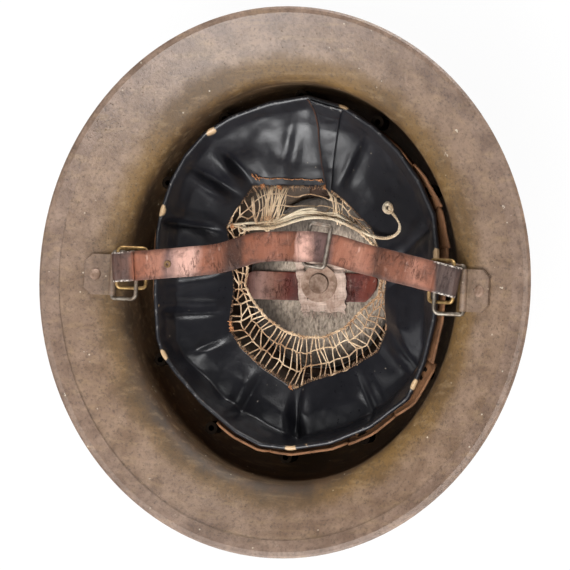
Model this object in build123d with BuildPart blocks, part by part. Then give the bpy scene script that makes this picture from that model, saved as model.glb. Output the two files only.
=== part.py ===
"""A steel trench helmet of the soup-bowl kind, lying on its crown with the lining upwards.

Millimetres. +Z points up out of the head opening, +Y to the front of the helmet and +X to its right
hand side as it lies. The origin is the middle of the crown rivet's outer head, where the helmet rests.
"""
import os
from math import asin, atan2, cos, degrees, hypot, pi, radians, sin, sqrt, tan

from build123d import *

# Steel shell
edge_width = 290.8
edge_length = 314.8
steel = 1.0
bowl_width = 202.2
bowl_length = 237.2
bowl_depth = 84.0
bowl_fullness = 2.2
fold_radius = 12.0
brim_rise = 29.2
crown_flat = 8.0
bowl_steps = 10
fold_steps = 4

# Folded strip round the edge of the brim
binding_gauge = 0.6
binding_gap = 0.12
binding_width = 6.4

# Crown rivet and the washers on it
crown_head_height = 1.6
crown_head_radius = 7.5
crown_shank_radius = 2.5
inner_head_radius = 6.2
inner_head_height = 1.3
washer_radius = 11.5
washer_gauge = 0.8
shank_clearance = 0.2
layer_gap = 0.1

# Brackets on the brim
bracket_width = 24.2
bracket_length = 16.9
bracket_leaf = 0.9
bracket_slit = 0.12
bracket_corner = 4.4
bracket_seat_gap = 0.3
bracket_rivet_place = 10.6
bracket_rivet_radius = 1.5
bracket_rivet_head_radius = 3.4
bracket_rivet_head_height = 1.3
rivet_flat_share = 0.5
rivet_dome_share = (0.86, 0.66)
hinge_clearance = 0.08

# Wire bails and rings
bail_wire_radius = 1.2
bail_length = 16.5
bail_width = 27.6
bail_corner = 3.2
bail_hinge_corner = 1.5
bail_pitch = 12.0
ring_wire_radius = 1.1
ring_length = 17.2
ring_width = 23.8
ring_corner = 2.6
ring_side_step = 4.6
ring_arm = 11.5
ring_arm_pitch = 13.2
ring_under_bail = 2.62

# Chin strap
strap_width = 17.6
strap_thickness = 2.0
strap_pitch = 13.0
strap_ramp = 15.0
strap_bore_gap = 0.15
flap_length = 11.0
flap_closing = 12.0
ramp_bend = 12.0
strap_plan_left = ((-40.0, 11.5), (-14.0, 20.3))
strap_plan_right = ((24.0, 21.6), (52.0, 14.8))
strap_plan_bends = (60.0, 60.0, 60.0, 60.0)
eyelet_place = (-69.3, 7.6)
eyelet_radius = 2.1
eyelet_bore = 0.8
eyelet_flange = 0.5
eyelet_neck = 1.4

# Slide buckle on the chin strap
buckle_place = (20.3, 22.2)
buckle_turn = -8.0
buckle_length = 12.5
buckle_width = 24.4
buckle_wire_radius = 1.2
buckle_corner = 2.0
tail_length = 4.0
return_length = 12.0
under_bar_run = 6.0
strap_rise_run = 13.0
join_run = 20.0

# Lining
liner_shift = 3.5
cradle_depth = 78.0
band_thickness = 1.6
band_bottom = 55.0
band_height = 28.0
band_slits = 12
slit_width = 1.2
slit_depth = 10.0
buffer_count = 12
buffer_diameter = 7.5
buffer_bore = 3.5
buffer_length = 15.0
buffer_bottom = 65.0
buffer_gap = 0.9
lining_gap = 0.3
oilcloth_wall = 1.4
oilcloth_fold_depth = 3.5
oilcloth_fold_shares = (1.0, 0.55, 0.8, 0.4, 0.9, 0.6, 1.0, 0.5, 0.75, 0.95, 0.45, 0.85, 0.6, 0.7)
oilcloth_profile_shares = (
    (-0.1, -0.12, 0.6), (0.0, 0.0, 0.75), (0.2, 0.28, 1.0), (0.45, 0.62, 0.8), (0.76, 0.96, 0.15),
    (1.0, 1.0, 0.0), (1.1, 1.0, 0.0),
)
oilcloth_top = 84.5
oilcloth_bottom = 47.0
oilcloth_folds = 14
oilcloth_mouth_width = 108.0
oilcloth_mouth_length = 116.0
oilcloth_mouth_shift = 1.0
net_thickness = 1.3
net_strand = 1.5
net_rows = 3
net_columns = 34
net_mouth_width = 85.2
net_mouth_length = 66.0
net_mouth_shift = -1.5
net_hem = 2.0
net_seat = 0.5
hanger_width = 20.0
hanger_thickness = 1.6

# Crown pad and what lies on it
pad_top = 17.5
pad_half_width = 46.0
pad_edge = 3.0
pad_steps = 3
crown_strap_length = 87.0
crown_strap_width = 17.8
crown_strap_corner = 6.0
crown_strap_thickness = 1.8
crown_strap_place = (-4.0, -2.0)
cloth_width = 26.0
cloth_length = 31.5
cloth_thickness = 0.6
cloth_place = (6.2, -2.2)
cloth_strip_width = 5.5
cloth_strip_length = 32.0
cloth_strip_place = (-14.6, -2.0)
cloth_strip_turn = 15.0

# Drawstring of the lining, from the net's hem over the mouth of the oilcloth to its knot
cord_diameter = 2.0
cord_bend_share = 0.45
cord_points = (
    (-42.5, 31.4, 48.1), (-34.5, 32.6, 48.1), (-25.0, 32.4, 48.1), (-15.5, 35.2, 48.1),
    (-5.5, 39.0, 48.1), (5.0, 40.4, 48.1), (15.5, 39.6, 48.1), (25.5, 35.6, 48.3),
    (35.0, 31.6, 49.4), (43.5, 29.0, 52.6), (51.0, 28.8, 57.0), (57.6, 31.6, 60.0),
    (59.6, 36.8, 61.4), (56.8, 41.4, 61.4), (53.0, 44.8, 61.2),
)
knot_radius = 2.8
knot_seat_share = 0.85

# How far cutting tools run past the faces that they cut
overrun = 5.0

# Heights of the shell, from the table up
crown_z = crown_head_height
fold_z = crown_z + bowl_depth
edge_z = fold_z + brim_rise
wall_x, wall_y = bowl_width / 2, bowl_length / 2
edge_x, edge_y = edge_width / 2, edge_length / 2


def brim_slope(wall, edge):
    """Angle of the brim above level, where it leaves the fold and runs straight to the edge."""
    across = edge - wall - fold_radius
    return atan2(brim_rise, across) - asin(fold_radius / hypot(across, brim_rise))


def reach(z, inset, wall, edge):
    """Half size of the shell at a height, on the face that lies inset within its outer skin."""
    if z <= fold_z:
        rise = (z - crown_z - inset) / (bowl_depth - inset)
        return (wall - inset) * (1 - (1 - rise) ** bowl_fullness) ** (1 / bowl_fullness)
    slope = brim_slope(wall, edge)
    radius = fold_radius + inset
    if z < fold_z + radius * cos(slope):
        return wall + fold_radius - sqrt(radius**2 - (z - fold_z) ** 2)
    return edge + (z - edge_z) / tan(slope) - inset / sin(slope)


def shell_ring(z, inset):
    """Oval ring of the shell at a height: half width, half length, forward shift and height."""
    return reach(z, inset, wall_x, edge_x), reach(z, inset, wall_y, edge_y), 0, z


def oval_solid(rings, ruled=False):
    """Closed solid through oval rings."""
    with BuildPart() as solid:
        for half_width, half_length, shift, z in rings:
            with BuildSketch(Plane.XY.offset(z)):
                with Locations((0, shift)):
                    Ellipse(half_width, half_length)
        loft(ruled=ruled)
    return solid.part


def shell_solid(inset, top):
    """Solid inside one skin of the shell: the bowl, the fold and the straight brim up to a height."""
    depth = bowl_depth - inset
    bowl_rings = [(crown_flat, crown_flat * bowl_length / bowl_width, 0, crown_z + inset)]
    for step in range(1, bowl_steps + 1):
        risen = 1 - cos(pi / 2 * step / bowl_steps)
        bowl_rings.append(shell_ring(crown_z + inset + depth * risen, inset))
    fold_rings = [bowl_rings[-1]]
    fold_turn = pi / 2 - brim_slope(wall_x, edge_x)
    for step in range(1, fold_steps + 1):
        risen = sin(fold_turn * step / fold_steps)
        fold_rings.append(shell_ring(fold_z + (fold_radius + inset) * risen, inset))
    bowl = oval_solid(bowl_rings)
    fold = oval_solid(fold_rings)
    brim = oval_solid([fold_rings[-1], shell_ring(top, inset)], ruled=True)
    with BuildPart() as solid:
        add(bowl)
        add(fold)
        add(brim)
    return solid.part


# Brackets: the hinge axis lies where the brim's slope meets the fold
slope = brim_slope(wall_x, edge_x)
knuckle_radius = bail_wire_radius + hinge_clearance + bracket_leaf
seat_radius = fold_radius + steel + bracket_seat_gap
seat_x = wall_x + fold_radius - seat_radius * sin(slope)
seat_z = fold_z + seat_radius * cos(slope)
hinge_x = seat_x - knuckle_radius * sin(slope)
hinge_z = seat_z + knuckle_radius * cos(slope)
rivet_x = seat_x + bracket_rivet_place * cos(slope)
rivet_z = seat_z + bracket_rivet_place * sin(slope)
rivet_hole_radius = bracket_rivet_radius + shank_clearance
left_rivet_plane = Plane((-rivet_x, 0, rivet_z), x_dir=(0, 1, 0), z_dir=(sin(slope), 0, cos(slope)))
right_rivet_plane = Plane((rivet_x, 0, rivet_z), x_dir=(0, 1, 0), z_dir=(-sin(slope), 0, cos(slope)))

shell_outside = shell_solid(0, edge_z)
shell_inside = shell_solid(steel, edge_z + overrun)

with BuildPart() as shell:
    add(shell_outside)
    add(shell_inside, mode=Mode.SUBTRACT)
    Cylinder(crown_shank_radius + shank_clearance, 2 * (crown_z + steel) + overrun, mode=Mode.SUBTRACT)
    with Locations(left_rivet_plane, right_rivet_plane):
        Cylinder(rivet_hole_radius, 2 * (bracket_seat_gap + steel) + overrun, mode=Mode.SUBTRACT)

# Binding: a strip folded over the edge, with a lip on each face of the brim
binding_low = edge_z - binding_width * sin(slope)
binding_top = edge_z + binding_gap + binding_gauge
lip = binding_gap + binding_gauge


def brim_band(inset, low, high):
    """Solid inside one face of the brim, between two heights."""
    return oval_solid([shell_ring(low, inset), shell_ring(high, inset)], ruled=True)


binding_nose = (edge_x + binding_gap, edge_y + binding_gap, 0, binding_top)
binding_rings = [shell_ring(binding_low, -lip), shell_ring(edge_z, -lip), binding_nose]
binding_outside = oval_solid(binding_rings, ruled=True)
binding_inside = brim_band(steel + lip, binding_low - overrun, binding_top + overrun)
slot_outside = brim_band(-binding_gap, binding_low - overrun, edge_z + binding_gap)
slot_inside = brim_band(steel + binding_gap, binding_low - overrun, edge_z + binding_gap)

with BuildPart() as slot_filler:
    add(slot_outside)
    add(slot_inside, mode=Mode.SUBTRACT)

with BuildPart() as rim_binding:
    add(binding_outside)
    add(binding_inside, mode=Mode.SUBTRACT)
    add(slot_filler.part, mode=Mode.SUBTRACT)

# Left bracket: a strip folded round the bail, its two leaves riveted to the brim
bracket_side = Plane((-seat_x, 0, seat_z), x_dir=(-cos(slope), 0, sin(slope)), z_dir=(0, 1, 0))
along_brim = Axis((0, 0, 0), (-cos(slope), 0, sin(slope)))
off_brim = Axis((0, 0, 0), (sin(slope), 0, cos(slope)))
bracket_depth = 2 * bracket_leaf + bracket_slit

with BuildPart() as left_bracket:
    with BuildSketch(bracket_side):
        with Locations((0, knuckle_radius)):
            Circle(knuckle_radius)
        Rectangle(bracket_length, bracket_depth, align=(Align.MIN, Align.MIN))
        with Locations((knuckle_radius - bracket_leaf / 2, bracket_leaf)):
            Rectangle(bracket_length, bracket_slit, align=(Align.MIN, Align.MIN), mode=Mode.SUBTRACT)
        with Locations((0, knuckle_radius)):
            Circle(bail_wire_radius + hinge_clearance, mode=Mode.SUBTRACT)
    extrude(amount=bracket_width / 2, both=True)
    corners = left_bracket.edges().filter_by(off_brim).group_by(along_brim)[-1]
    chamfer(corners, bracket_corner)
    with Locations(left_rivet_plane):
        Cylinder(rivet_hole_radius, 2 * bracket_depth + overrun, mode=Mode.SUBTRACT)

rivet_foot = -bracket_seat_gap - steel
rivet_side = Plane(left_rivet_plane.origin, x_dir=(0, 1, 0), z_dir=(cos(slope), 0, -sin(slope)))


def domed_rivet(plane, foot, shoulder, shank, head, height):
    """Rivet with a domed head at both ends of its shank, turned about the plane's upright axis."""
    flat = rivet_flat_share * head
    bulge, rise = rivet_dome_share[0] * head, rivet_dome_share[1] * height
    with BuildPart() as rivet:
        with BuildSketch(plane):
            with BuildLine():
                top = Line((0, shoulder + height), (flat, shoulder + height))
                dome = ThreePointArc(top @ 1, (bulge, shoulder + rise), (head, shoulder))
                neck = Polyline(dome @ 1, (shank, shoulder), (shank, foot), (head, foot))
                shop = ThreePointArc(neck @ 1, (bulge, foot - rise), (flat, foot - height))
                Polyline(shop @ 1, (0, foot - height), (0, shoulder + height))
            make_face()
        revolve(axis=Axis(plane.origin, plane.y_dir))
    return rivet.part


left_bracket_rivet = domed_rivet(
    rivet_side, rivet_foot, bracket_depth, bracket_rivet_radius, bracket_rivet_head_radius,
    bracket_rivet_head_height,
)


def wire_loop(plane, length, near_side, far_side, first_corner, last_corner, wire):
    """Closed loop of round wire, with its own corner radius at each end."""
    with BuildPart() as loop:
        with BuildLine(plane) as path:
            FilletPolyline(
                (0, near_side), (length, near_side), (length, far_side), (0, far_side),
                radius=(first_corner, last_corner, last_corner, first_corner), close=True,
            )
        with BuildSketch(path.line ^ 0):
            Circle(wire)
        sweep()
    return loop.part


# Left bail, in the bracket's knuckle, pitched up towards the middle of the helmet
pitch = radians(bail_pitch)
bail_plane = Plane(
    (-hinge_x, 0, hinge_z), x_dir=(cos(pitch), 0, sin(pitch)), z_dir=(-sin(pitch), 0, cos(pitch))
)
left_bail = wire_loop(
    bail_plane, bail_length, -bail_width / 2, bail_width / 2,
    bail_hinge_corner, bail_corner, bail_wire_radius,
)

# Left ring: it hangs on the bail's inner bar, and its outer bar carries the strap
bar_x = -hinge_x + bail_length * cos(pitch)
bar_z = hinge_z + bail_length * sin(pitch)
arm_pitch = radians(ring_arm_pitch)
ring_x = bar_x - ring_arm * cos(arm_pitch)
ring_z = bar_z + ring_arm * sin(arm_pitch)
ring_pitch = arm_pitch + asin(ring_under_bail / ring_arm)
ring_plane = Plane(
    (ring_x, 0, ring_z),
    x_dir=(cos(ring_pitch), 0, -sin(ring_pitch)), z_dir=(sin(ring_pitch), 0, cos(ring_pitch)),
)
ring_near, ring_far = ring_side_step - ring_width / 2, ring_side_step + ring_width / 2
left_ring = wire_loop(
    ring_plane, ring_length, ring_near, ring_far, ring_corner, ring_corner, ring_wire_radius
)


def between_tangents(centre, radius, first, second):
    """Corner where two tangents of a circle meet, from the angles of their outward normals."""
    x = cos(first) + cos(second)
    z = sin(first) + sin(second)
    scale_up = radius / (1 + cos(first - second))
    return centre[0] + x * scale_up, centre[1] + z * scale_up


def strap_profile(plane, points, bends):
    """Strap material along a path, wider than the strap, to be trimmed by the strap's plan."""
    with BuildPart() as profile:
        with BuildSketch(plane):
            with BuildLine():
                FilletPolyline(*points, radius=bends)
            trace(line_width=strap_thickness)
        extrude(amount=buckle_width * 2, both=True)
    return profile.part


# Chin strap, loop end: a flap on top, a turn round the ring's bar, and a ramp up to the level run
turn_radius = ring_wire_radius + strap_bore_gap + strap_thickness / 2
ramp = radians(strap_pitch)
flap = ramp - radians(flap_closing)
below, above = ramp - pi / 2, flap + pi / 2
outward = (below + above) / 2 - pi
ring_centre = (ring_x, ring_z)
flap_end = (
    ring_x + turn_radius * cos(above) + flap_length * cos(flap),
    ring_z + turn_radius * sin(above) + flap_length * sin(flap),
)
turn_top = between_tangents(ring_centre, turn_radius, above, outward)
turn_foot = between_tangents(ring_centre, turn_radius, below, outward)
ramp_end = (
    ring_x + turn_radius * cos(below) + strap_ramp * cos(ramp),
    ring_z + turn_radius * sin(below) + strap_ramp * sin(ramp),
)
strap_z = ramp_end[1]
buckle_x, buckle_y = buckle_place
left_join = (buckle_x - buckle_length - join_run, strap_z)
right_join = (buckle_x + buckle_length + under_bar_run + strap_rise_run, strap_z)
loop_bends = (turn_radius, turn_radius, ramp_bend)
left_loop_path = (flap_end, turn_top, turn_foot, ramp_end, left_join)
right_loop_path = tuple((-x, z) for x, z in left_loop_path[:-1]) + (right_join,)
left_loop_end = strap_profile(Plane.XZ, left_loop_path, loop_bends)
right_loop_end = strap_profile(Plane.XZ, right_loop_path, loop_bends)

# Chin strap, buckle end of the long piece: it turns round the left bar and comes back underneath
fold_turn = buckle_wire_radius + strap_bore_gap + strap_thickness / 2
buckle_z = strap_z - fold_turn
turn = radians(buckle_turn)
buckle_side = Plane(
    (buckle_x, buckle_y, buckle_z), x_dir=(cos(turn), sin(turn), 0), z_dir=(sin(turn), -cos(turn), 0)
)
left_bar, right_bar = (-buckle_length / 2, 0), (buckle_length / 2, 0)
closing = radians(flap_closing)
return_end = (
    left_bar[0] + fold_turn * cos(-pi / 2 - closing) - return_length * cos(closing),
    fold_turn * sin(-pi / 2 - closing) + return_length * sin(closing),
)
long_end_path = (
    (-buckle_length - 2 * join_run, fold_turn),
    between_tangents(left_bar, fold_turn, pi / 2, -closing / 2),
    between_tangents(left_bar, fold_turn, -pi / 2 - closing, -closing / 2),
    return_end,
)
long_buckle_end = strap_profile(buckle_side, long_end_path, (fold_turn, fold_turn))

# Chin strap, buckle end of the short piece: under the right bar and over the fold to a short tail
tail_turn = fold_turn + strap_thickness + strap_bore_gap
descent = asin((tail_turn + fold_turn) / buckle_length)
short_end_path = (
    (left_bar[0] - tail_length, tail_turn),
    between_tangents(left_bar, tail_turn, pi / 2, pi / 2 - descent),
    between_tangents(right_bar, fold_turn, -pi / 2, -pi / 2 - descent),
    (right_bar[0] + under_bar_run, -fold_turn),
    (right_bar[0] + under_bar_run + strap_rise_run, fold_turn),
    (right_bar[0] + under_bar_run + strap_rise_run + join_run, fold_turn),
)
short_end_bends = (tail_turn, fold_turn, ramp_bend, ramp_bend)
short_buckle_end = strap_profile(buckle_side, short_end_path, short_end_bends)


# Plan of the strap: one gentle bow from loop to loop, round the buckle's place
def plan_end(near, bar):
    """Point just past the middle of a ring's bar, in line with a point of the plan."""
    way = Vector(bar[0] - near[0], bar[1] - near[1])
    end = Vector(*bar) + way.normalized() * (2 * turn_radius)
    return end.X, end.Y


plan_left_end = plan_end(strap_plan_left[0], (ring_x, ring_side_step))
plan_right_end = plan_end(strap_plan_right[-1], (-ring_x, ring_side_step))
plan_points = (plan_left_end,) + strap_plan_left + strap_plan_right + (plan_right_end,)
with BuildPart() as strap_plan:
    with BuildSketch(Plane.XY.offset(hinge_z - buckle_width)):
        with BuildLine():
            FilletPolyline(*plan_points, radius=strap_plan_bends)
        trace(line_width=strap_width)
    extrude(amount=2 * buckle_width)

eyelet_plane = Plane((eyelet_place[0], eyelet_place[1], strap_z))
with BuildPart() as chin_strap_long:
    add(left_loop_end)
    add(long_buckle_end)
    add(strap_plan.part, mode=Mode.INTERSECT)
    with Locations(eyelet_plane):
        Cylinder(eyelet_neck + shank_clearance, 2 * strap_thickness, mode=Mode.SUBTRACT)

with BuildPart() as chin_strap_short:
    add(right_loop_end)
    add(short_buckle_end)
    add(strap_plan.part, mode=Mode.INTERSECT)

eyelet_flange_place = strap_thickness / 2 + layer_gap + eyelet_flange / 2
with BuildPart() as strap_eyelet:
    with Locations(eyelet_plane):
        Cylinder(eyelet_neck, 2 * eyelet_flange_place)
        with Locations((0, 0, eyelet_flange_place), (0, 0, -eyelet_flange_place)):
            Cylinder(eyelet_radius, eyelet_flange)
        Cylinder(eyelet_bore, 2 * strap_thickness, mode=Mode.SUBTRACT)

# Buckle frame: its left bar lies in the fold of the long piece
left_bar_place = (buckle_x + left_bar[0] * cos(turn), buckle_y + left_bar[0] * sin(turn), buckle_z)
buckle_plane = Plane(left_bar_place, x_dir=(cos(turn), sin(turn), 0), z_dir=(0, 0, 1))
strap_buckle = wire_loop(
    buckle_plane, buckle_length, -buckle_width / 2, buckle_width / 2,
    buckle_corner, buckle_corner, buckle_wire_radius,
)

# Leather band, hung inside the shell with room for the rubber buffers
buffer_room = buffer_gap + buffer_diameter + layer_gap
band_x = reach(buffer_bottom, steel, wall_x, edge_x) - buffer_room
band_y = reach(buffer_bottom, steel, wall_y, edge_y) - buffer_room - liner_shift
band_inner_x, band_inner_y = band_x - band_thickness, band_y - band_thickness
band_top = band_bottom + band_height


def oval_place(half_width, half_length, shift, angle, z):
    """Place on an oval, turned to face outwards."""
    x, y = half_width * cos(angle), half_length * sin(angle)
    facing = degrees(atan2(y / half_length**2, x / half_width**2))
    return Location((x, y + shift, z), (0, 0, facing))


with BuildPart() as leather_band:
    with BuildSketch(Plane.XY.offset(band_bottom)):
        with Locations((0, liner_shift)):
            Ellipse(band_x, band_y)
            Ellipse(band_inner_x, band_inner_y, mode=Mode.SUBTRACT)
    extrude(amount=band_height)
    for number in range(band_slits):
        angle = 2 * pi * number / band_slits
        with Locations(oval_place(band_x, band_y, liner_shift, angle, band_top)):
            Box(4 * band_thickness, slit_width, 2 * slit_depth, mode=Mode.SUBTRACT)

# Rubber buffers: short tubes standing between the band and the steel
buffers = []
for number in range(buffer_count):
    angle = 2 * pi * number / buffer_count
    centre = oval_place(band_x, band_y, liner_shift, angle, buffer_bottom)
    out = Location((layer_gap + buffer_diameter / 2, 0, 0))
    with BuildPart() as buffer:
        with BuildSketch(Plane(centre * out)):
            Circle(buffer_diameter / 2)
            Circle(buffer_bore / 2, mode=Mode.SUBTRACT)
        extrude(amount=buffer_length)
    buffers.append(buffer.part)

# Hanger straps: two strips crossing at the crown and rising to the band's lower edge
cradle_seat = crown_z + steel + layer_gap
long_middle = hanger_thickness / 2
cross_inset = hanger_thickness + layer_gap
cross_middle = cross_inset + hanger_thickness / 2
pad_inset = cross_inset + hanger_thickness + layer_gap
hanger_top = band_bottom - layer_gap


def cradle_share(z, inset):
    """Share of its full half size that the cradle of hangers has at a height."""
    rise = (z - cradle_seat - inset) / (cradle_depth - inset)
    return sqrt(1 - (1 - rise) ** 2)


cradle_x = (band_x - band_thickness / 2) / cradle_share(band_bottom, cross_middle) + cross_middle
cradle_y = (band_y - band_thickness / 2) / cradle_share(band_bottom, long_middle) + long_middle


def cradle_ring(z, inset):
    """Oval ring of the cradle, sliding forward with height to the lining's own middle."""
    share = cradle_share(z, inset)
    shift = liner_shift * (z - cradle_seat) / (band_bottom - cradle_seat)
    return (cradle_x - inset) * share, (cradle_y - inset) * share, shift, z


def cradle_rings(inset, top, steps):
    """Rings of the cradle from its flat crown up to a height."""
    low = cradle_seat + inset
    rings = [(crown_flat, crown_flat * bowl_length / bowl_width, 0, low)]
    for step in range(1, steps + 1):
        rings.append(cradle_ring(low + (top - low) * (1 - cos(pi / 2 * step / steps)), inset))
    return rings


def hanger(inset, half_width, half_length):
    """Strip of leather between two skins of the cradle."""
    outer_skin = oval_solid(cradle_rings(inset, hanger_top + overrun, bowl_steps))
    inner_skin = oval_solid(cradle_rings(inset + hanger_thickness, hanger_top + overrun, bowl_steps))
    with BuildPart() as strip:
        add(outer_skin)
        add(inner_skin, mode=Mode.SUBTRACT)
        Box(2 * half_width, 2 * half_length, 2 * hanger_top, mode=Mode.INTERSECT)
        Cylinder(shank_hole, 2 * hanger_top, mode=Mode.SUBTRACT)
    return strip.part


shank_hole = crown_shank_radius + shank_clearance
hanger_long = hanger(0, hanger_width / 2, edge_y)
hanger_cross = hanger(cross_inset, edge_x, hanger_width / 2)

# Felt pad: its underside lies in the cradle, its top is flat with a rounded edge
pad_seat = cradle_seat + pad_inset
pad_rise = 1 - sqrt(1 - (pad_half_width / (cradle_x - pad_inset)) ** 2)
pad_edge_z = pad_seat + pad_rise * (cradle_depth - pad_inset)
pad_dish_rings = cradle_rings(pad_inset, pad_edge_z, bowl_steps)
pad_edge_rings = [pad_dish_rings[-1]]
for step in range(1, pad_steps + 1):
    turned = pi / 2 * step / pad_steps
    drawn_in = pad_edge * (1 - cos(turned))
    half_width, half_length, shift, _ = pad_dish_rings[-1]
    level = pad_edge_z + (pad_top - pad_edge_z) * sin(turned)
    pad_edge_rings.append((half_width - drawn_in, half_length - drawn_in, shift, level))
pad_dish = oval_solid(pad_dish_rings)
pad_rim = oval_solid(pad_edge_rings)

with BuildPart() as felt_pad:
    add(pad_dish)
    add(pad_rim)
    Cylinder(shank_hole, 2 * pad_top + overrun, mode=Mode.SUBTRACT)

# Leather strip, cloth and washer stacked on the pad
crown_strap_z = pad_top + layer_gap
cloth_z = crown_strap_z + crown_strap_thickness + layer_gap
washer_z = cloth_z + cloth_thickness + layer_gap
inner_head_z = washer_z + washer_gauge + layer_gap

with BuildPart() as crown_strap:
    with BuildSketch(Plane.XY.offset(crown_strap_z)):
        with Locations(crown_strap_place):
            RectangleRounded(crown_strap_length, crown_strap_width, crown_strap_corner)
        Circle(shank_hole, mode=Mode.SUBTRACT)
    extrude(amount=crown_strap_thickness)

with BuildPart() as crown_cloth:
    with BuildSketch(Plane.XY.offset(cloth_z)):
        with Locations(cloth_place):
            Rectangle(cloth_width, cloth_length)
        Circle(shank_hole, mode=Mode.SUBTRACT)
    extrude(amount=cloth_thickness)

with BuildPart() as crown_cloth_strip:
    with BuildSketch(Plane.XY.offset(cloth_z)):
        with Locations(Location(cloth_strip_place, cloth_strip_turn)):
            Rectangle(cloth_strip_width, cloth_strip_length)
    extrude(amount=cloth_thickness)

with BuildPart() as crown_washer:
    with BuildSketch(Plane.XY.offset(washer_z)):
        Circle(washer_radius)
        Circle(shank_hole, mode=Mode.SUBTRACT)
    extrude(amount=washer_gauge)

head_round = crown_head_height / 2
with BuildPart() as crown_rivet:
    Cylinder(crown_head_radius, crown_head_height, align=(Align.CENTER, Align.CENTER, Align.MIN))
    fillet(crown_rivet.edges().group_by(Axis.Z)[0], head_round)
    Cylinder(crown_shank_radius, inner_head_z, align=(Align.CENTER, Align.CENTER, Align.MIN))
    with Locations((0, 0, inner_head_z)):
        Cylinder(inner_head_radius, inner_head_height, align=(Align.CENTER, Align.CENTER, Align.MIN))
    fillet(crown_rivet.edges().group_by(Axis.Z)[-1], inner_head_height / 2)

# Oilcloth lining: a funnel from inside the band down to the net, drawn into radial folds
lining_x = band_inner_x - lining_gap
lining_y = band_inner_y - lining_gap
mouth_x, mouth_y = oilcloth_mouth_width / 2, oilcloth_mouth_length / 2


def folded_ring(inset, height_share, spread_share, fold_share):
    """Face bounded by one arc for each fold, pinched inwards between them."""
    z = oilcloth_bottom + height_share * (oilcloth_top - oilcloth_bottom)
    half_width = mouth_x + spread_share * (lining_x - mouth_x) - inset
    half_length = mouth_y + spread_share * (lining_y - mouth_y) - inset
    shift = oilcloth_mouth_shift + spread_share * (liner_shift - oilcloth_mouth_shift)

    def place(turned, drawn_in):
        angle = 2 * pi * turned / oilcloth_folds
        return (half_width - drawn_in) * cos(angle), (half_length - drawn_in) * sin(angle) + shift

    pinches = []
    for number in range(oilcloth_folds):
        own_share = oilcloth_fold_shares[number % len(oilcloth_fold_shares)]
        pinches.append(place(number, oilcloth_fold_depth * fold_share * own_share))
    with BuildSketch(Plane.XY.offset(z)) as ring:
        with BuildLine():
            for number in range(oilcloth_folds):
                crest = place(number + 0.5, 0)
                ThreePointArc(pinches[number], crest, pinches[(number + 1) % oilcloth_folds])
        make_face()
    return ring.sketch


def folded_funnel(inset):
    """Solid inside one skin of the oilcloth, longer than the cloth at both ends."""
    rings = [folded_ring(inset, *shares) for shares in oilcloth_profile_shares]
    with BuildPart() as funnel:
        loft(rings)
    return funnel.part


outer_funnel = folded_funnel(0)
inner_funnel = folded_funnel(oilcloth_wall)
with BuildPart() as oilcloth_lining:
    add(outer_funnel)
    add(inner_funnel, mode=Mode.SUBTRACT)
    with Locations((0, 0, oilcloth_bottom)):
        Box(
            edge_width, edge_length, oilcloth_top - oilcloth_bottom,
            align=(Align.CENTER, Align.CENTER, Align.MIN), mode=Mode.INTERSECT,
        )

# Twine net: a flat ring of netting under the mouth of the oilcloth
net_top = oilcloth_bottom - layer_gap
net_outer_x, net_outer_y = mouth_x - net_seat, mouth_y - net_seat
net_inner_x, net_inner_y = net_mouth_width / 2, net_mouth_length / 2


def net_point(share, angle):
    """Point of the net, from its inner hem at share 0 to its outer hem at share 1."""
    half_width = net_inner_x + net_hem + share * (net_outer_x - net_inner_x - 2 * net_hem)
    half_length = net_inner_y + net_hem + share * (net_outer_y - net_inner_y - 2 * net_hem)
    shift = net_mouth_shift + share * (oilcloth_mouth_shift - net_mouth_shift)
    return half_width * cos(angle), half_length * sin(angle) + shift


def net_gap(row, column):
    """Corners of one gap between the strands."""
    strand_share = net_strand / (net_outer_y - net_inner_y)
    low = row / net_rows + (strand_share / 2 if row else 0)
    high = (row + 1) / net_rows - (strand_share / 2 if row + 1 < net_rows else 0)
    corners = []
    for share, sides in ((low, (0, 1)), (high, (1, 0))):
        half_strand = net_strand / 2 / hypot(*net_point(share, pi / 4))
        for side in sides:
            angle = 2 * pi * (column + side) / net_columns
            corners.append(net_point(share, angle + half_strand * (1 - 2 * side)))
    return corners


with BuildPart() as twine_net:
    with BuildSketch(Plane.XY.offset(net_top)):
        with Locations((0, oilcloth_mouth_shift)):
            Ellipse(net_outer_x, net_outer_y)
        with Locations((0, net_mouth_shift)):
            Ellipse(net_inner_x, net_inner_y, mode=Mode.SUBTRACT)
        for row in range(net_rows):
            for column in range(net_columns):
                Polygon(*net_gap(row, column), align=None, mode=Mode.SUBTRACT)
    extrude(amount=-net_thickness)

# Drawstring: straight runs joined by arcs as wide as the runs allow, with a knot on its end
points = [Vector(*point) for point in cord_points]
cord_radii = []
for before, corner, after in zip(points, points[1:], points[2:]):
    half_turn = radians((corner - before).get_angle(after - corner)) / 2
    shorter = min((corner - before).length, (after - corner).length)
    cord_radii.append(cord_bend_share * shorter / tan(half_turn))

with BuildPart() as drawstring:
    with BuildLine() as cord_path:
        FilletPolyline(*points, radius=cord_radii)
    with BuildSketch(cord_path.line ^ 0):
        Circle(cord_diameter / 2)
    sweep()

cord_end = cord_path.wires()[0] @ 1
cord_way = cord_path.wires()[0] % 1
knot_plane = Plane(cord_end, z_dir=cord_way)
with BuildPart() as drawstring_knot:
    with Locations(knot_plane.offset(knot_radius * knot_seat_share)):
        Sphere(knot_radius)
    split(bisect_by=knot_plane, keep=Keep.TOP)

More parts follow.
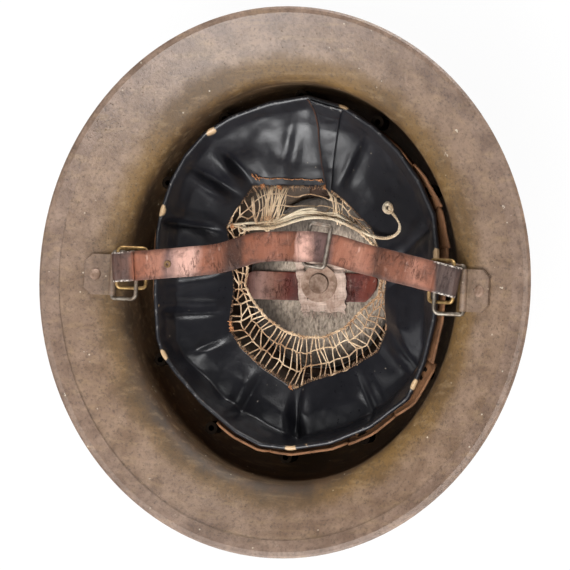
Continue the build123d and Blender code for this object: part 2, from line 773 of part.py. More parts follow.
pieces = {
    "shell": shell.part,
    "rim_binding": rim_binding.part,
    "left_bracket": left_bracket.part,
    "left_bracket_rivet": left_bracket_rivet,
    "left_bail": left_bail,
    "left_ring": left_ring,
    "right_bracket": mirror(left_bracket.part, about=Plane.YZ),
    "right_bracket_rivet": mirror(left_bracket_rivet, about=Plane.YZ),
    "right_bail": mirror(left_bail, about=Plane.YZ),
    "right_ring": mirror(left_ring, about=Plane.YZ),
    "chin_strap_long": chin_strap_long.part,
    "chin_strap_short": chin_strap_short.part,
    "strap_eyelet": strap_eyelet.part,
    "strap_buckle": strap_buckle,
    "leather_band": leather_band.part,
    "hanger_long": hanger_long,
    "hanger_cross": hanger_cross,
    "felt_pad": felt_pad.part,
    "crown_strap": crown_strap.part,
    "crown_cloth": crown_cloth.part,
    "crown_cloth_strip": crown_cloth_strip.part,
    "crown_washer": crown_washer.part,
    "crown_rivet": crown_rivet.part,
    "oilcloth_lining": oilcloth_lining.part,
    "twine_net": twine_net.part,
    "drawstring": drawstring.part,
    "drawstring_knot": drawstring_knot.part,
}
for number, part in enumerate(buffers, start=1):
    pieces[f"rubber_buffer_{number:02d}"] = part

os.makedirs("parts", exist_ok=True)
for name, piece in pieces.items():
    piece.label = name
    export_step(piece, f"parts/{name}.step")
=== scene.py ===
# %% [markdown]
# This lesson dresses a steel trench helmet that lies on its crown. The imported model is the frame: every
# piece below is made in metres, in that model's own place, so nothing has to be fitted afterwards.

# %% The frame
import functools
import random
from math import asin, atan2, ceil, copysign, cos, degrees, exp, hypot, pi, radians, sin, sqrt, tan

import bmesh
import bpy
from mathutils import Matrix, Vector, noise


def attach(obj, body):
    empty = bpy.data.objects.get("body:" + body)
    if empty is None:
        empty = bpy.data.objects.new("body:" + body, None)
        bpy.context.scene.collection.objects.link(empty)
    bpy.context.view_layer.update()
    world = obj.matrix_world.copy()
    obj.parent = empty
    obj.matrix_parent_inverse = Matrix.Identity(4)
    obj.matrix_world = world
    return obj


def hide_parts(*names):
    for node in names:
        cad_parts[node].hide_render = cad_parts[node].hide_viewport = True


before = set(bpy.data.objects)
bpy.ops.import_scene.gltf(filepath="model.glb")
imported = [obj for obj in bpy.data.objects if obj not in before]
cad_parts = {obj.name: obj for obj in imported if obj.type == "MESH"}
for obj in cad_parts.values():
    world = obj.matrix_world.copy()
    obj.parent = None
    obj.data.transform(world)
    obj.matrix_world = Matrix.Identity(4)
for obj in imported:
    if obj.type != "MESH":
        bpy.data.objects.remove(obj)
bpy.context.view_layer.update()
mm = 0.001
random.seed(1917)


def add_object(name, data):
    """Puts an object with its data into the scene."""
    made = bpy.data.objects.new(name, data)
    bpy.context.scene.collection.objects.link(made)
    return made


# %% [markdown]
# The photograph looks almost straight down into the helmet. The camera's place was worked out from the
# rim, the fold, the crown rivet and the two bracket rivets, so it is set from those angles, not by eye.

# %% The camera
picture_width = 570
sensor_width = 36.0
focal_pixels = 2061.1
lean_right, lean_front, roll = (radians(angle) for angle in (15.87, 0.24, 2.49))
camera_distance = 1.2
aim_height = 0.1
slide_right, slide_up = 0.66 * mm, -1.53 * mm

back = Vector((
    sin(lean_right) * cos(lean_front), sin(lean_front),
    cos(lean_right) * cos(lean_front),
))
level_right = Vector((cos(lean_right), 0, -sin(lean_right)))
level_up = back.cross(level_right)
right = cos(roll) * level_right + sin(roll) * level_up
up = cos(roll) * level_up - sin(roll) * level_right

camera_data = bpy.data.cameras.new("camera")
camera_data.sensor_width = sensor_width
camera_data.lens = focal_pixels / picture_width * sensor_width
camera = add_object("camera", camera_data)
place = Vector((0, 0, aim_height)) + back * camera_distance + right * slide_right + up * slide_up
camera.matrix_world = Matrix.Translation(place) @ Matrix((right, up, back)).transposed().to_4x4()
bpy.context.scene.camera = camera

# %% [markdown]
# A finish is a recipe of nodes. Written by hand it is hard to read, so one small class wraps an output of
# a node and lets plus, minus, times and divided by add the sums as nodes.

# %% Finishes written as sums


class Wire:
    """One output of a node; sums on it add the nodes that do the sum."""

    def __init__(self, nodes, socket):
        self.nodes, self.socket = nodes, socket

    def maths(self, operation, *values):
        return self.nodes.node("ShaderNodeMath", dict(enumerate(values)), operation=operation)

    def __add__(self, other):
        return self.maths("ADD", self, other)

    def __sub__(self, other):
        return self.maths("SUBTRACT", self, other)

    def __rsub__(self, other):
        return self.maths("SUBTRACT", other, self)

    def __mul__(self, other):
        return self.maths("MULTIPLY", self, other)

    def __truediv__(self, other):
        return self.maths("DIVIDE", self, other)

    def __abs__(self):
        return self.maths("ABSOLUTE", self)

    __radd__, __rmul__ = __add__, __mul__

    def ranged(self, low, high, first=0.0, last=1.0, kind="LINEAR"):
        """Goes from first to last as the wire goes from low to high, which may be the smaller."""
        values = dict(enumerate((self, low, high, first, last)))
        return self.nodes.node("ShaderNodeMapRange", values, interpolation_type=kind)

    def step(self, low, high):
        """Goes from 0 to 1 in the same way, but with soft ends."""
        return self.ranged(low, high, kind="SMOOTHSTEP")


# %% [markdown]
# A second class adds nodes to any tree, a material's or the sky's. A node's settings come first, because
# some of them change its sockets, and then the values or wires of its sockets.

# %% Nodes of any tree


class Nodes:
    """A tree of nodes, and the place on the surface or in the sky that feeds them."""

    def __init__(self, tree, place):
        self.tree = tree
        self.place = self.node("ShaderNodeTexCoord", output=place)

    def node(self, kind, sockets=None, output=0, stops=None, **settings):
        """Adds a node: its settings first, then a ramp's stops, then the values or wires of its sockets."""
        made = self.tree.nodes.new(kind)
        for setting, value in settings.items():
            setattr(made, setting, value)
        if stops:
            ramp = made.color_ramp.elements
            while len(ramp) < len(stops):
                ramp.new(1)
            for element, (position, colour) in zip(ramp, stops):
                element.position, element.color = position, colour
        for socket, value in (sockets or {}).items():
            self.join(made.inputs[socket], value)
        return Wire(self, made.outputs[output])

    def join(self, socket, value):
        if isinstance(value, Wire):
            self.tree.links.new(value.socket, socket)
        else:
            socket.default_value = value

    def axis(self, name, vector=None):
        return self.node("ShaderNodeSeparateXYZ", {0: vector or self.place}, output=name)


# %% [markdown]
# A third class is a material with the noises and relief that old things need. They are laid out on the
# piece's own coordinates in metres, so each pattern has a real size and moves with its piece.

# %% One finish


class Finish(Nodes):
    """A node material laid out on the piece's own coordinates, in metres."""

    def __init__(self, name, **values):
        self.material = bpy.data.materials.new(name)
        self.material.use_nodes = True
        super().__init__(self.material.node_tree, "Object")
        self.shader = self.tree.nodes["Principled BSDF"]
        self.set(**values)

    def set(self, **values):
        """Feeds the shader's inputs; an underscore in a name stands for a space."""
        for name, value in values.items():
            self.join(self.shader.inputs[name.replace("_", " ")], value)

    def stretched(self, scale, turn=(0, 0, 0), vector=None):
        return self.node("ShaderNodeMapping", {0: vector or self.place, "Scale": scale, "Rotation": turn})

    def cloud(self, size, detail=4.0, rough=0.55, vector=None, seed=0.0):
        """Soft noise from 0 to 1 whose blotches are about size across."""
        values = {"Vector": vector or self.place, "Scale": 1 / size, "Detail": detail, "Roughness": rough}
        return self.node("ShaderNodeTexNoise", {**values, "W": seed}, noise_dimensions="4D")

    def cells(self, size, feature="F1"):
        """Distance from the middle of the nearest of many scattered cells."""
        values = {"Vector": self.place, "Scale": 1 / size}
        return self.node("ShaderNodeTexVoronoi", values, feature=feature)

    def distance(self, point):
        """How far the surface is from a point, in metres."""
        values = {0: self.place, 1: point}
        return self.node("ShaderNodeVectorMath", values, output="Value", operation="DISTANCE")

    def blend(self, share, first, second):
        return self.node("ShaderNodeMix", {0: share, 6: first, 7: second}, output=2, data_type="RGBA")

    def layers(self, colour, *coats):
        """A colour under coats, each a share and the colour that covers that share."""
        for share, coat in coats:
            colour = self.blend(share, colour, coat)
        return colour

    def bump(self, height, depth, strength=1.0):
        """Relief whose height from 0 to 1 stands for depth in metres."""
        relief = {"Strength": strength, "Distance": depth, "Height": height}
        self.set(Normal=self.node("ShaderNodeBump", relief))


def rgb(red, green, blue):
    """A colour given as a screen shows it, 0 to 255, as the shader wants it."""
    light = [value / 255 for value in (red, green, blue)]
    return tuple(v / 12.92 if v <= 0.04045 else ((v + 0.055) / 1.055) ** 2.4 for v in light) + (1.0,)


# %% [markdown]
# The steel was painted a matt olive-brown inside and out. Most of the brim looks mauve-grey, partly from
# rubbing and partly because half-gloss old paint mirrors the lamps; its colour also paints in part of that
# sheen, and the bowl's colour is darkened with painted shade. One recipe serves all painted steel: noise
# breaks up its roughness and stains, small cells give chips and pits, and stretched noise gives brush marks.

# %% Shell paint
# The brim zone is worn paint plus a painted sheen; the bowl zone is painted shade, higher at the shaded
# corner.
rubbed_sheen_from, rubbed_sheen_to = 0.098, 0.105
bowl_shade_from, bowl_shade_to, shaded_rise = 0.096, 0.086, 0.008


def worn_paint(name, base, dark, light, chip):
    """Worn paint with a painted sheen on the brim and painted shade in the bowl, most at its shaded corner.
    """
    paint = Finish(name, Specular_IOR_Level=0.6)
    x, y, z = (paint.axis(axis) for axis in "XYZ")
    patches = paint.cloud(0.045, detail=6.0, rough=0.62)
    blotches = paint.cloud(0.014, detail=6.0, rough=0.68, seed=9.0)
    grain = paint.cloud(0.0017, detail=6.0, rough=0.75, seed=3.0)
    brushed = paint.cloud(0.004, detail=3.0, vector=paint.stretched((0.12, 1.0, 1.0)), seed=2.0)
    height = z + (patches - 0.5) * 0.01 + (blotches - 0.5) * 0.006
    rubbed_and_sheen = height.step(rubbed_sheen_from, rubbed_sheen_to)
    shaded = (x * -0.5 - y * 0.85).step(0.035, 0.11) * shaded_rise
    bowl_shade = (height - shaded).step(bowl_shade_from, bowl_shade_to)
    freckles = paint.cells(0.0026).step(0.2, 0.1) * paint.cloud(0.009, seed=14.0).step(0.5, 0.62)
    chips = paint.cells(0.0062).step(0.11, 0.05)
    chips = chips * paint.cloud(0.016, detail=3.0, seed=24.0).step(0.52, 0.6)
    flakes = paint.cloud(0.006, detail=3.0, rough=0.6, seed=41.0).step(0.7, 0.73)
    flakes = flakes * paint.cloud(0.05, detail=1.0, seed=43.0).step(0.5, 0.56)
    # The brim's mauve-brown coat is worn paint and a painted sheen; the bowl's dark brown coat is painted
    # shade.
    colour = paint.layers(
        paint.blend(patches.step(0.36, 0.64), dark, base),
        (blotches.step(0.5, 0.72) * 0.45, light),
        (rubbed_and_sheen * 0.8, paint.blend(blotches.step(0.35, 0.65), rgb(104, 83, 69), rgb(136, 113, 97))),
        (bowl_shade * 0.8, paint.blend(blotches.step(0.4, 0.6), rgb(46, 31, 17), rgb(68, 46, 26))),
        (brushed.step(0.5, 0.7) * 0.24, rgb(158, 132, 98)),
        (grain.step(0.46, 0.68) * 0.6, rgb(50, 38, 28)),
        (freckles * 0.4, rgb(50, 36, 25)),
        (chips * 0.75, chip),
        (flakes * 0.7, chip),
    )
    sheen = patches * 0.12 + blotches * 0.16 + grain * 0.14
    paint.set(Base_Color=colour, Roughness=0.4 + sheen - rubbed_and_sheen * 0.2 + freckles * 0.2)
    paint.bump(patches * 0.25 + grain * 0.55 + blotches * 0.4 - freckles * 0.4 - flakes * 0.3, 0.0008, 0.6)
    return paint


shell_paint = worn_paint(
    "shell_paint", rgb(108, 80, 38), rgb(84, 60, 28), rgb(128, 100, 56), rgb(204, 192, 172)
)
binding_paint = worn_paint(
    "binding_paint", rgb(93, 72, 57), rgb(72, 53, 41), rgb(115, 96, 81), rgb(196, 184, 166)
)
bracket_paint = worn_paint(
    "bracket_paint", rgb(96, 77, 58), rgb(71, 53, 38), rgb(117, 100, 81), rgb(190, 176, 154)
)

# %% [markdown]
# Wire, rivets and the buckle are bare metal gone dull. Real old metal is never one grey: tarnish darkens
# it in clouds and rubbing keeps some places bright, so one recipe takes the bright and the dull colour.

# %% Bare metals


def old_metal(name, bright, dull, shine=0.38, size=0.004, bare=0.85):
    metal = Finish(name)
    tarnish = metal.cloud(size, detail=5.0, rough=0.65)
    rust = metal.cloud(size * 2.5, detail=4.0, seed=4.0).step(0.5, 0.68)
    metal.set(
        Base_Color=metal.layers(bright, (tarnish.step(0.35, 0.65), dull), (rust * 0.6, rgb(96, 66, 44))),
        Metallic=bare - rust * bare * 0.6, Roughness=shine + tarnish * 0.25 + rust * 0.2,
    )
    metal.bump(tarnish + metal.cloud(size / 3, seed=7.0) * 0.5, 0.0002, 0.5)
    return metal


wire_steel = old_metal("wire_steel", rgb(150, 142, 130), rgb(98, 86, 74))
ring_brass = old_metal("ring_brass", rgb(186, 156, 104), rgb(120, 92, 58), 0.34)
eyelet_brass = old_metal("eyelet_brass", rgb(150, 120, 84), rgb(96, 72, 48), 0.4)
buckle_steel = old_metal("buckle_steel", rgb(150, 142, 132), rgb(104, 94, 84), 0.36)
rivet_steel = old_metal("rivet_steel", rgb(154, 130, 114), rgb(112, 88, 72), 0.45, bare=0.4)
washer_steel = old_metal("washer_steel", rgb(178, 152, 134), rgb(142, 112, 94), 0.5, 0.003, bare=0.25)
# The buffers' near-black colour is dark rubber darkened further as painted shade, so they sink into the gap.
buffer_rubber = Finish("buffer_rubber", Roughness=1.0, Specular_IOR_Level=0.0)
crazed = buffer_rubber.cloud(0.003, detail=5.0)
buffer_rubber.set(Base_Color=buffer_rubber.blend(crazed, rgb(12, 9, 7), rgb(26, 20, 15)))
buffer_rubber.bump(crazed, 0.0003)

node_finishes = {
    "shell": shell_paint, "rim_binding": binding_paint, "strap_eyelet": eyelet_brass,
    "strap_buckle": buckle_steel, "crown_washer": washer_steel, "crown_rivet": rivet_steel,
}
for side in ("left", "right"):
    node_finishes.update({
        f"{side}_bracket": bracket_paint, f"{side}_bracket_rivet": rivet_steel,
        f"{side}_bail": wire_steel, f"{side}_ring": ring_brass,
    })
for number in range(1, 13):
    node_finishes[f"rubber_buffer_{number:02d}"] = buffer_rubber
for name, finish in node_finishes.items():
    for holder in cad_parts[name].material_slots:
        holder.link = "OBJECT"
        holder.material = finish.material
print("finished nodes", len(node_finishes))

# %% [markdown]
# Places are written in millimetres from the crown rivet. Nothing old is quite straight or even, so soft
# steps and smooth noise push its points about.

# %% Places, easing and noise


def at(x, y, z):
    return Vector((x * mm, y * mm, z * mm))


def around(radius, angle, z):
    return at(radius * cos(angle), radius * sin(angle), z)


def ease(share):
    share = min(max(share, 0.0), 1.0)
    return share * share * (3 - 2 * share)


def wobble(point, size, seed=0.0):
    """Smooth noise from about -1 to 1."""
    return noise.noise(Vector(point) / size + Vector((seed, seed * 1.7, -seed)))


# %% [markdown]
# Most soft pieces here are strips or tubes: one outline carried along a row of stations. A station says
# where the middle is and which ways are across and up. Each corner of the outline keeps its number while
# its edge is extruded, and a second layer keeps its place along and across for the finish to read.

# %% Sweeping an outline


def leather_outline(width, thickness, corners=32):
    outline = []
    for corner in range(corners):
        turn = 2 * pi * corner / corners
        across, rise = cos(turn), sin(turn)
        outline.append((
            copysign(abs(across) ** 0.55, across) * width / 2,
            copysign(abs(rise) ** 0.3, rise) * thickness / 2,
        ))
    return outline


def extruded(shape, edges):
    """Extrudes a row of edges, and gives the new row's points and edges."""
    made = bmesh.ops.extrude_edge_only(shape, edges=edges)["geom"]
    points = [item for item in made if isinstance(item, bmesh.types.BMVert)]
    inside = set(points)
    edges = [item for item in made if isinstance(item, bmesh.types.BMEdge)]
    return points, [edge for edge in edges if inside.issuperset(edge.verts)]


def with_ways(line):
    """Each point of a line with the way along it there."""
    for before, point, after in zip(line[:1] + line, line, line[1:] + line[-1:]):
        yield point, (after - before).normalized()


def swept(stations, outline, narrow=None):
    """The outline extruded from station to station and closed at both ends."""
    shape = bmesh.new()
    corner = shape.verts.layers.int.new("corner")
    strip = shape.verts.layers.float_vector.new("strip")
    first = [shape.verts.new() for _ in outline]
    edges = [shape.edges.new(pair) for pair in zip(first, first[1:] + first[:1])]
    for number, vertex in enumerate(first):
        vertex[corner] = number
    ring, along = first, 0.0
    for index, (middle, across, rise) in enumerate(stations):
        if index:
            ring, edges = extruded(shape, edges)
            along += (middle - stations[index - 1][0]).length
        size = narrow(index / (len(stations) - 1)) if narrow else (1.0, 1.0)
        for vertex in ring:
            sideways, height = outline[vertex[corner]]
            vertex.co = middle + across * sideways * size[0] + rise * height * size[1]
            vertex[strip] = (along, sideways, height)
    for loose in (first, sorted(ring, key=lambda vertex: vertex[corner])):
        bmesh.ops.contextual_create(shape, geom=loose)
    return shape


# %% [markdown]
# Cloth and tongues are grids laid over a surface that a function gives. A strap's side view is a line
# whose corners are arcs, cut into short stretches so that it can wave a little.

# %% Grids and rounded lines


def add_grid(shape, columns, rows, place_at):
    """A grid whose points are placed by their shares across and up, from -0.5 to 0.5."""
    for vertex in bmesh.ops.create_grid(shape, x_segments=columns, y_segments=rows, size=0.5)["verts"]:
        vertex.co = place_at(vertex.co.x, vertex.co.y)


def rounded(points, radii, step=8.0):
    """A line through points whose corners are arcs of these radii, step degrees to a stretch."""
    line = [Vector(points[0])]
    for before, corner, after, radius in zip(points, points[1:], points[2:], radii):
        corner = Vector(corner)
        way_in = (corner - Vector(before)).normalized()
        way_out = (Vector(after) - corner).normalized()
        turn = way_in.angle(way_out)
        cut = radius * tan(turn / 2)
        start, end = corner - way_in * cut, corner + way_out * cut
        steps = max(2, round(degrees(turn) / step))
        inward = (way_out - way_in).normalized()
        centre = corner + inward * (radius / cos(turn / 2))
        for number in range(steps + 1):
            spoke = (start - centre).slerp(end - centre, number / steps)
            line.append(centre + spoke * radius)
    line.append(Vector(points[-1]))
    return line


def filled(line, longest):
    """The same line with points added so that no stretch is longer than longest."""
    result = [line[0]]
    for start, end in zip(line, line[1:]):
        count = max(1, ceil((end - start).length / longest))
        result += [start.lerp(end, number / count) for number in range(1, count + 1)]
    return result[:1] + [end for start, end in zip(result, result[1:]) if (end - start).length > 1e-6]


# %% [markdown]
# Every piece ends the same way: its faces are turned outwards and shaded smooth, it gets one finish, and
# it is told which body it rides on and which plain solids it stands for.

# %% From mesh to piece


def make_piece(shape, name, finish, body="helmet", stands_for=()):
    """Turns a bmesh into a piece that rides on a body and stands for the plain solids it replaces."""
    mesh = bpy.data.meshes.new(name)
    bmesh.ops.recalc_face_normals(shape, faces=shape.faces[:])
    shape.to_mesh(mesh)
    shape.free()
    mesh.shade_smooth()
    mesh.materials.append(finish.material)
    piece = add_object(name, mesh)
    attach(piece, body)
    if stands_for:
        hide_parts(*stands_for)
    print(name, "faces", len(mesh.polygons))
    return piece


# %% [markdown]
# Leather cracks across its length where it has bent, darkens in the cracks and in blots, and is scuffed pale
# in places. The strip layer gives the distance along and across, so the cracks run the right way round every
# bend. Named tones along a strap follow its wear, and some are painted highlights on its rises and a painted
# shadow in a bend. The two end folds of the chin strap are almost black, with their edges rubbed pale.

# %% Leather
tint_span = 220


def old_leather(name, light, mid, dark, shine=0.38, tints=None, edge=None, ends=None):
    """Tints are (x in mm, colour) pairs, edge is half the strip's width, and the soot starts at ends."""
    leather = Finish(name, Specular_IOR_Level=0.3)
    strip = leather.node("ShaderNodeAttribute", output="Vector", attribute_name="strip")

    def drawn(share, size, detail, rough, seed=0.0):
        """Noise drawn out across the strip, the more the smaller its share."""
        return leather.cloud(size, detail, rough, leather.stretched((1, share, 1), vector=strip), seed)

    patches = drawn(0.35, 0.012, 6.0, 0.65)
    streaks = drawn(0.12, 0.0014, 4.0, 0.6)
    scuffs = drawn(0.35, 0.005, 5.0, 0.7, 8.0).step(0.6, 0.75)
    cracked = 1 - abs(drawn(0.2, 0.003, 6.0, 0.7, 2.0) - 0.5).step(0.0, 0.022)
    cracked = cracked * leather.cloud(0.012, seed=6.0).step(0.5, 0.62)
    grain = leather.cloud(0.0012, detail=4.0, rough=0.6)
    blots = leather.cloud(0.008, detail=7.0, rough=0.75, seed=17.0).step(0.47, 0.64)
    across = abs(leather.axis("Y", strip))
    coats = [(patches.step(0.5, 0.75), light)]
    if tints:
        place = (leather.axis("X") + (patches - 0.5) * 0.012) / (tint_span * mm) + 0.5
        stops = [(x / tint_span + 0.5, tint) for x, tint in tints]
        coats.append((0.8, leather.node("ShaderNodeValToRGB", {0: place}, stops=stops)))
    coats += [
        (streaks.step(0.5, 0.7) * 0.22, dark), (blots * 0.55, dark),
        ((1 - streaks.step(0.28, 0.45)) * 0.12, rgb(214, 166, 144)),
        (cracked * 0.5, dark), (scuffs * 0.45, rgb(214, 184, 170)),
    ]
    if edge:
        coats.append(((across + (patches - 0.5) * 0.003).step(edge - 0.0032, edge) * 0.6, dark))
    if ends:
        x = leather.axis("X") + (patches - 0.5) * 0.006
        blackened = x.step(ends + 0.001, ends + 0.005) + x.step(-ends - 0.002, -ends - 0.006) * 0.85
        sooted = (patches * 0.5 + streaks * 0.5).step(0.38, 0.62)
        worn_edge = (across + (grain - 0.5) * 0.0012).step(edge - 0.0012, edge - 0.0004)
        coats += [
            (blackened * 0.92, leather.blend(sooted, rgb(18, 15, 16), rgb(76, 64, 60))),
            (worn_edge * blackened * grain.step(0.4, 0.6), rgb(206, 194, 182)),
        ]
    leather.set(
        Base_Color=leather.layers(dark, (patches.step(0.3, 0.5), mid), *coats),
        Roughness=shine + patches * 0.2 + cracked * 0.2,
    )
    leather.bump(grain * 0.4 + patches * 0.5 + streaks * 0.12 - cracked * 0.8 - blots * 0.2, 0.0006, 0.8)
    return leather


# %% [markdown]
# One recipe gives every leather. The chin strap and the crown's strip have named tones along their
# length, and only the chin strap has darkened edges and blackened ends.

# %% Leathers
# Tones of the worn leather, and where each lies along a strap, by x in mm
rubbed_and_sheen, pale, tawny = rgb(204, 162, 148), rgb(158, 110, 92), rgb(136, 86, 67)
brown, dark, sooty = rgb(108, 64, 46), rgb(30, 18, 14), rgb(92, 78, 78)
ox_light, oxblood, ox_dark = rgb(130, 60, 44), rgb(104, 46, 38), rgb(66, 32, 27)
# The light tones at -63 to -55, 9 to 17, 45 and 79 are painted highlights; the dark band at -33 to -25 is
# painted shadow.
strap_tints = [
    (-84, tawny), (-75, pale), (-69, sooty), (-63, rubbed_and_sheen), (-55, rubbed_and_sheen), (-48, tawny), (-38, brown),
    (-33, dark), (-25, dark), (-21, brown), (-6, tawny), (7, brown), (9, rubbed_and_sheen), (17, rubbed_and_sheen), (20, sooty),
    (25, sooty), (30, tawny), (45, pale), (52, tawny), (57, dark), (62, brown), (72, brown), (79, pale),
    (87, tawny),
]
# The crown strip's light tones at -38 and -30 are a painted highlight on its raised left end.
crown_tints = [
    (-46, oxblood), (-38, rubbed_and_sheen), (-30, pale), (-20, oxblood), (-12, ox_dark), (14, ox_dark),
    (24, oxblood), (34, ox_light), (42, ox_dark),
]
strap_leather = old_leather(
    "strap_leather", rgb(168, 108, 82), rgb(124, 72, 48), rgb(54, 31, 23), 0.34, strap_tints,
    edge=0.0088, ends=0.0875,
)
crown_leather = old_leather(
    "crown_leather", rgb(150, 80, 66), rgb(104, 50, 38), rgb(48, 24, 20), 0.24, crown_tints
)
band_leather = old_leather("band_leather", rgb(172, 132, 98), rgb(124, 86, 58), rgb(66, 44, 29), 0.6)
hanger_leather = old_leather("hanger_leather", rgb(84, 58, 40), rgb(62, 42, 29), rgb(34, 23, 16), 0.6)

# %% [markdown]
# The chin strap is two pieces of leather. Each end is folded round the outer bar of a wire ring with its
# flap on top. The long piece also turns round the buckle's left bar and comes back underneath, and the
# short piece passes under the right bar and over that fold. Its side view and its plan are drawn apart,
# as for a leather pattern, and joined into stations.

# %% Chin strap
strap_width, strap_thickness = 17.6, 2.0
strap_z, buckle_z = 106.738, 104.388
bar_x, bar_z = 101.342, 105.556
buckle_x, buckle_length, buckle_turn = 20.3, 12.5, radians(-8)
loop_radius, fold_radius, tail_radius = 2.25, 2.35, 4.5
ramp, flap, closing = radians(13), radians(1), radians(12)
bend_radius, longest_stretch = 12, 1.5
fold_x, wave_fade = 90, 12


def outside(centre, radius, first, second):
    """Corner where two tangents of a circle meet, from the angles of their outward normals."""
    size = radius / (1 + cos(first - second))
    across, rise = cos(first) + cos(second), sin(first) + sin(second)
    return centre[0] + across * size, centre[1] + rise * size


def onward(centre, radius, touch, way, length):
    """Point length along a way from where a circle is touched at an angle."""
    x, z = centre
    return x + radius * cos(touch) + length * cos(way), z + radius * sin(touch) + length * sin(way)


below, above = ramp - pi / 2, flap + pi / 2
outward = (below + above) / 2 - pi
ring_bar = (-bar_x, bar_z)
loop_path = [
    onward(ring_bar, loop_radius, above, flap, 11),
    outside(ring_bar, loop_radius, above, outward),
    outside(ring_bar, loop_radius, below, outward),
    (onward(ring_bar, loop_radius, below, ramp, 15)[0], strap_z),
]

# %% [markdown]
# Seen from above the strap bows towards the front. A station's place along and its height come from the
# side view, and its place and turn across come from the plan, so both drawings hold at once.

# %% Stations of the strap
plan_line = rounded(
    [(-106.2, 4.1), (-40, 11.5), (-14, 20.3), (24, 21.6), (52, 14.8), (106.2, 3.6)], [60] * 4, step=2
)


def plan_place(x):
    """The strap's middle and its way along in plan, at x."""
    for start, end in zip(plan_line, plan_line[1:]):
        if x <= end.x:
            break
    share = (x - start.x) / (end.x - start.x)
    return start.y + (end.y - start.y) * share, (end - start).normalized()


def strap_stations(profile):
    stations = []
    for place, along in with_ways([Vector((x, plan_place(x)[0], z)) for x, z in profile]):
        plan_way = plan_place(place.x)[1]
        across = Vector((-plan_way.y, plan_way.x, 0))
        stations.append((place * mm, across, along.cross(across).normalized()))
    return stations


# %% [markdown]
# The ends at the buckle are drawn from its own two bars, because they run close round them. Small waves
# in the leather fade out towards the end folds, which have to stay on the rings.

# %% The strap's two pieces


def buckle_place(along, rise):
    return buckle_x + along * cos(buckle_turn), buckle_z + rise


left_bar, right_bar = (-buckle_length / 2, 0), (buckle_length / 2, 0)
return_turn = -pi / 2 - closing
long_end = [
    outside(left_bar, fold_radius, pi / 2, -closing / 2),
    outside(left_bar, fold_radius, return_turn, -closing / 2),
    onward(left_bar, fold_radius, return_turn, pi - closing, 12),
]
descent = asin((tail_radius + fold_radius) / buckle_length)
short_end = [
    (left_bar[0] - 4, tail_radius),
    outside(left_bar, tail_radius, pi / 2, pi / 2 - descent),
    outside(right_bar, fold_radius, -pi / 2, -pi / 2 - descent),
    (right_bar[0] + 6, -fold_radius),
    (right_bar[0] + 19, fold_radius),
]
long_path = loop_path + [buckle_place(*point) for point in long_end]
short_path = [buckle_place(*point) for point in short_end] + [(-x, z) for x, z in reversed(loop_path)]
long_radii = [loop_radius] * 2 + [bend_radius] + [fold_radius] * 2
short_radii = [tail_radius, fold_radius] + [bend_radius] * 3 + [loop_radius] * 2

strap_outline = leather_outline(strap_width * mm, strap_thickness * mm)
for name, path, radii in (
    ("chin_strap_long", long_path, long_radii), ("chin_strap_short", short_path, short_radii),
):
    profile = filled(rounded(path, radii), longest_stretch)
    shape = swept(strap_stations(profile), strap_outline)
    for vertex in shape.verts:
        loose = ease((fold_x - abs(vertex.co.x / mm)) / wave_fade)
        wave = 0.9 * wobble((vertex.co.x, 0, 0), 0.016, 2.0) + 0.35 * wobble(vertex.co, 0.007)
        vertex.co += Vector((0, 0.3 * wobble(vertex.co, 0.012, 5.0), wave)) * loose * mm
    make_piece(shape, f"{name}_leather", strap_leather, "chin_strap", [name])

# %% [markdown]
# The lining is black oilcloth, sewn round the top of the leather band and drawn in to the net. From above
# it shows flat facets between sharp folds. Four outlines in plan say where it goes: the rim, a valley, a
# ridge and the mouth, each with straight runs between its corners, so the facets come out flat by
# themselves.

# %% Outlines of the lining
rim_outline = [
    (89, 2), (88, 22), (85, 43), (75, 63), (62, 80), (46, 94), (28, 105), (5, 111), (-18, 107),
    (-42, 98), (-58, 88), (-70, 74), (-78, 59), (-84, 40), (-86, 26), (-86, -10), (-83, -37), (-79, -47),
    (-70, -58), (-53, -75), (-31, -91), (-15, -98), (4, -99), (28, -94), (52, -83), (74, -65), (78, -56),
    (83, -43), (88, -18),
]
valley_corners = [
    (76, 4, 69), (72, 32, 70), (56, 63, 70), (30, 89, 71), (2, 95, 71), (-26, 89, 71), (-48, 77, 70),
    (-67, 55, 68), (-77, 34, 67), (-76, 14, 69), (-76, -14, 69), (-76, -38, 66), (-72, -48, 62),
    (-60, -60, 58), (-46, -73, 57), (-28, -83, 57), (-8, -92, 56), (-1, -95, 50), (6, -92, 56), (31, -84, 57),
    (56, -68, 57), (71, -52, 61), (77, -36, 67), (78, -18, 69),
]
ridge_corners = [
    (62, 4, 56), (58, 28, 57), (44, 54, 58), (24, 68, 59), (6, 72, 58), (-12, 74, 61), (-24, 80, 64),
    (-29, 68, 54), (-34, 63, 52), (-46, 70, 64), (-52, 60, 60), (-60, 44, 58), (-66, 34, 56), (-60, 18, 56),
    (-58, -8, 55), (-65, -42, 60), (-50, -54, 55), (-30, -66, 54), (-9, -80, 55), (-3, -86, 48), (1, -80, 55),
    (26, -72, 55), (50, -62, 54), (66, -50, 56), (69, -38, 65), (60, -24, 62), (58, -10, 56),
]
mouth_outline = [
    (48, 8), (44, 21), (38, 34), (21, 50), (9, 59), (-14, 58), (-37, 58), (-47, 43), (-53, 33), (-49, 18),
    (-46, -6), (-48, -24), (-47, -31), (-41, -40), (-27, -52), (-9, -62), (-5, -64), (4, -59), (26, -51),
    (45, -39), (50, -25), (48, -10),
]
rim_z, mouth_z = 84.8, 47.0
roll_width = 2.6
band_half, band_middle_y = (87.5, 101.2), 3.5
cord_end, still_reach, still_fade = (54, 38), 9, 14
bare_spots = ((-78, -47), (77, -56), (4, -97), (28, 106), (-83, 40), (-53, 87), (86, 20))
cloth_columns, rows_per_panel = 480, (12, 10, 10, 8, 3, 3, 3)


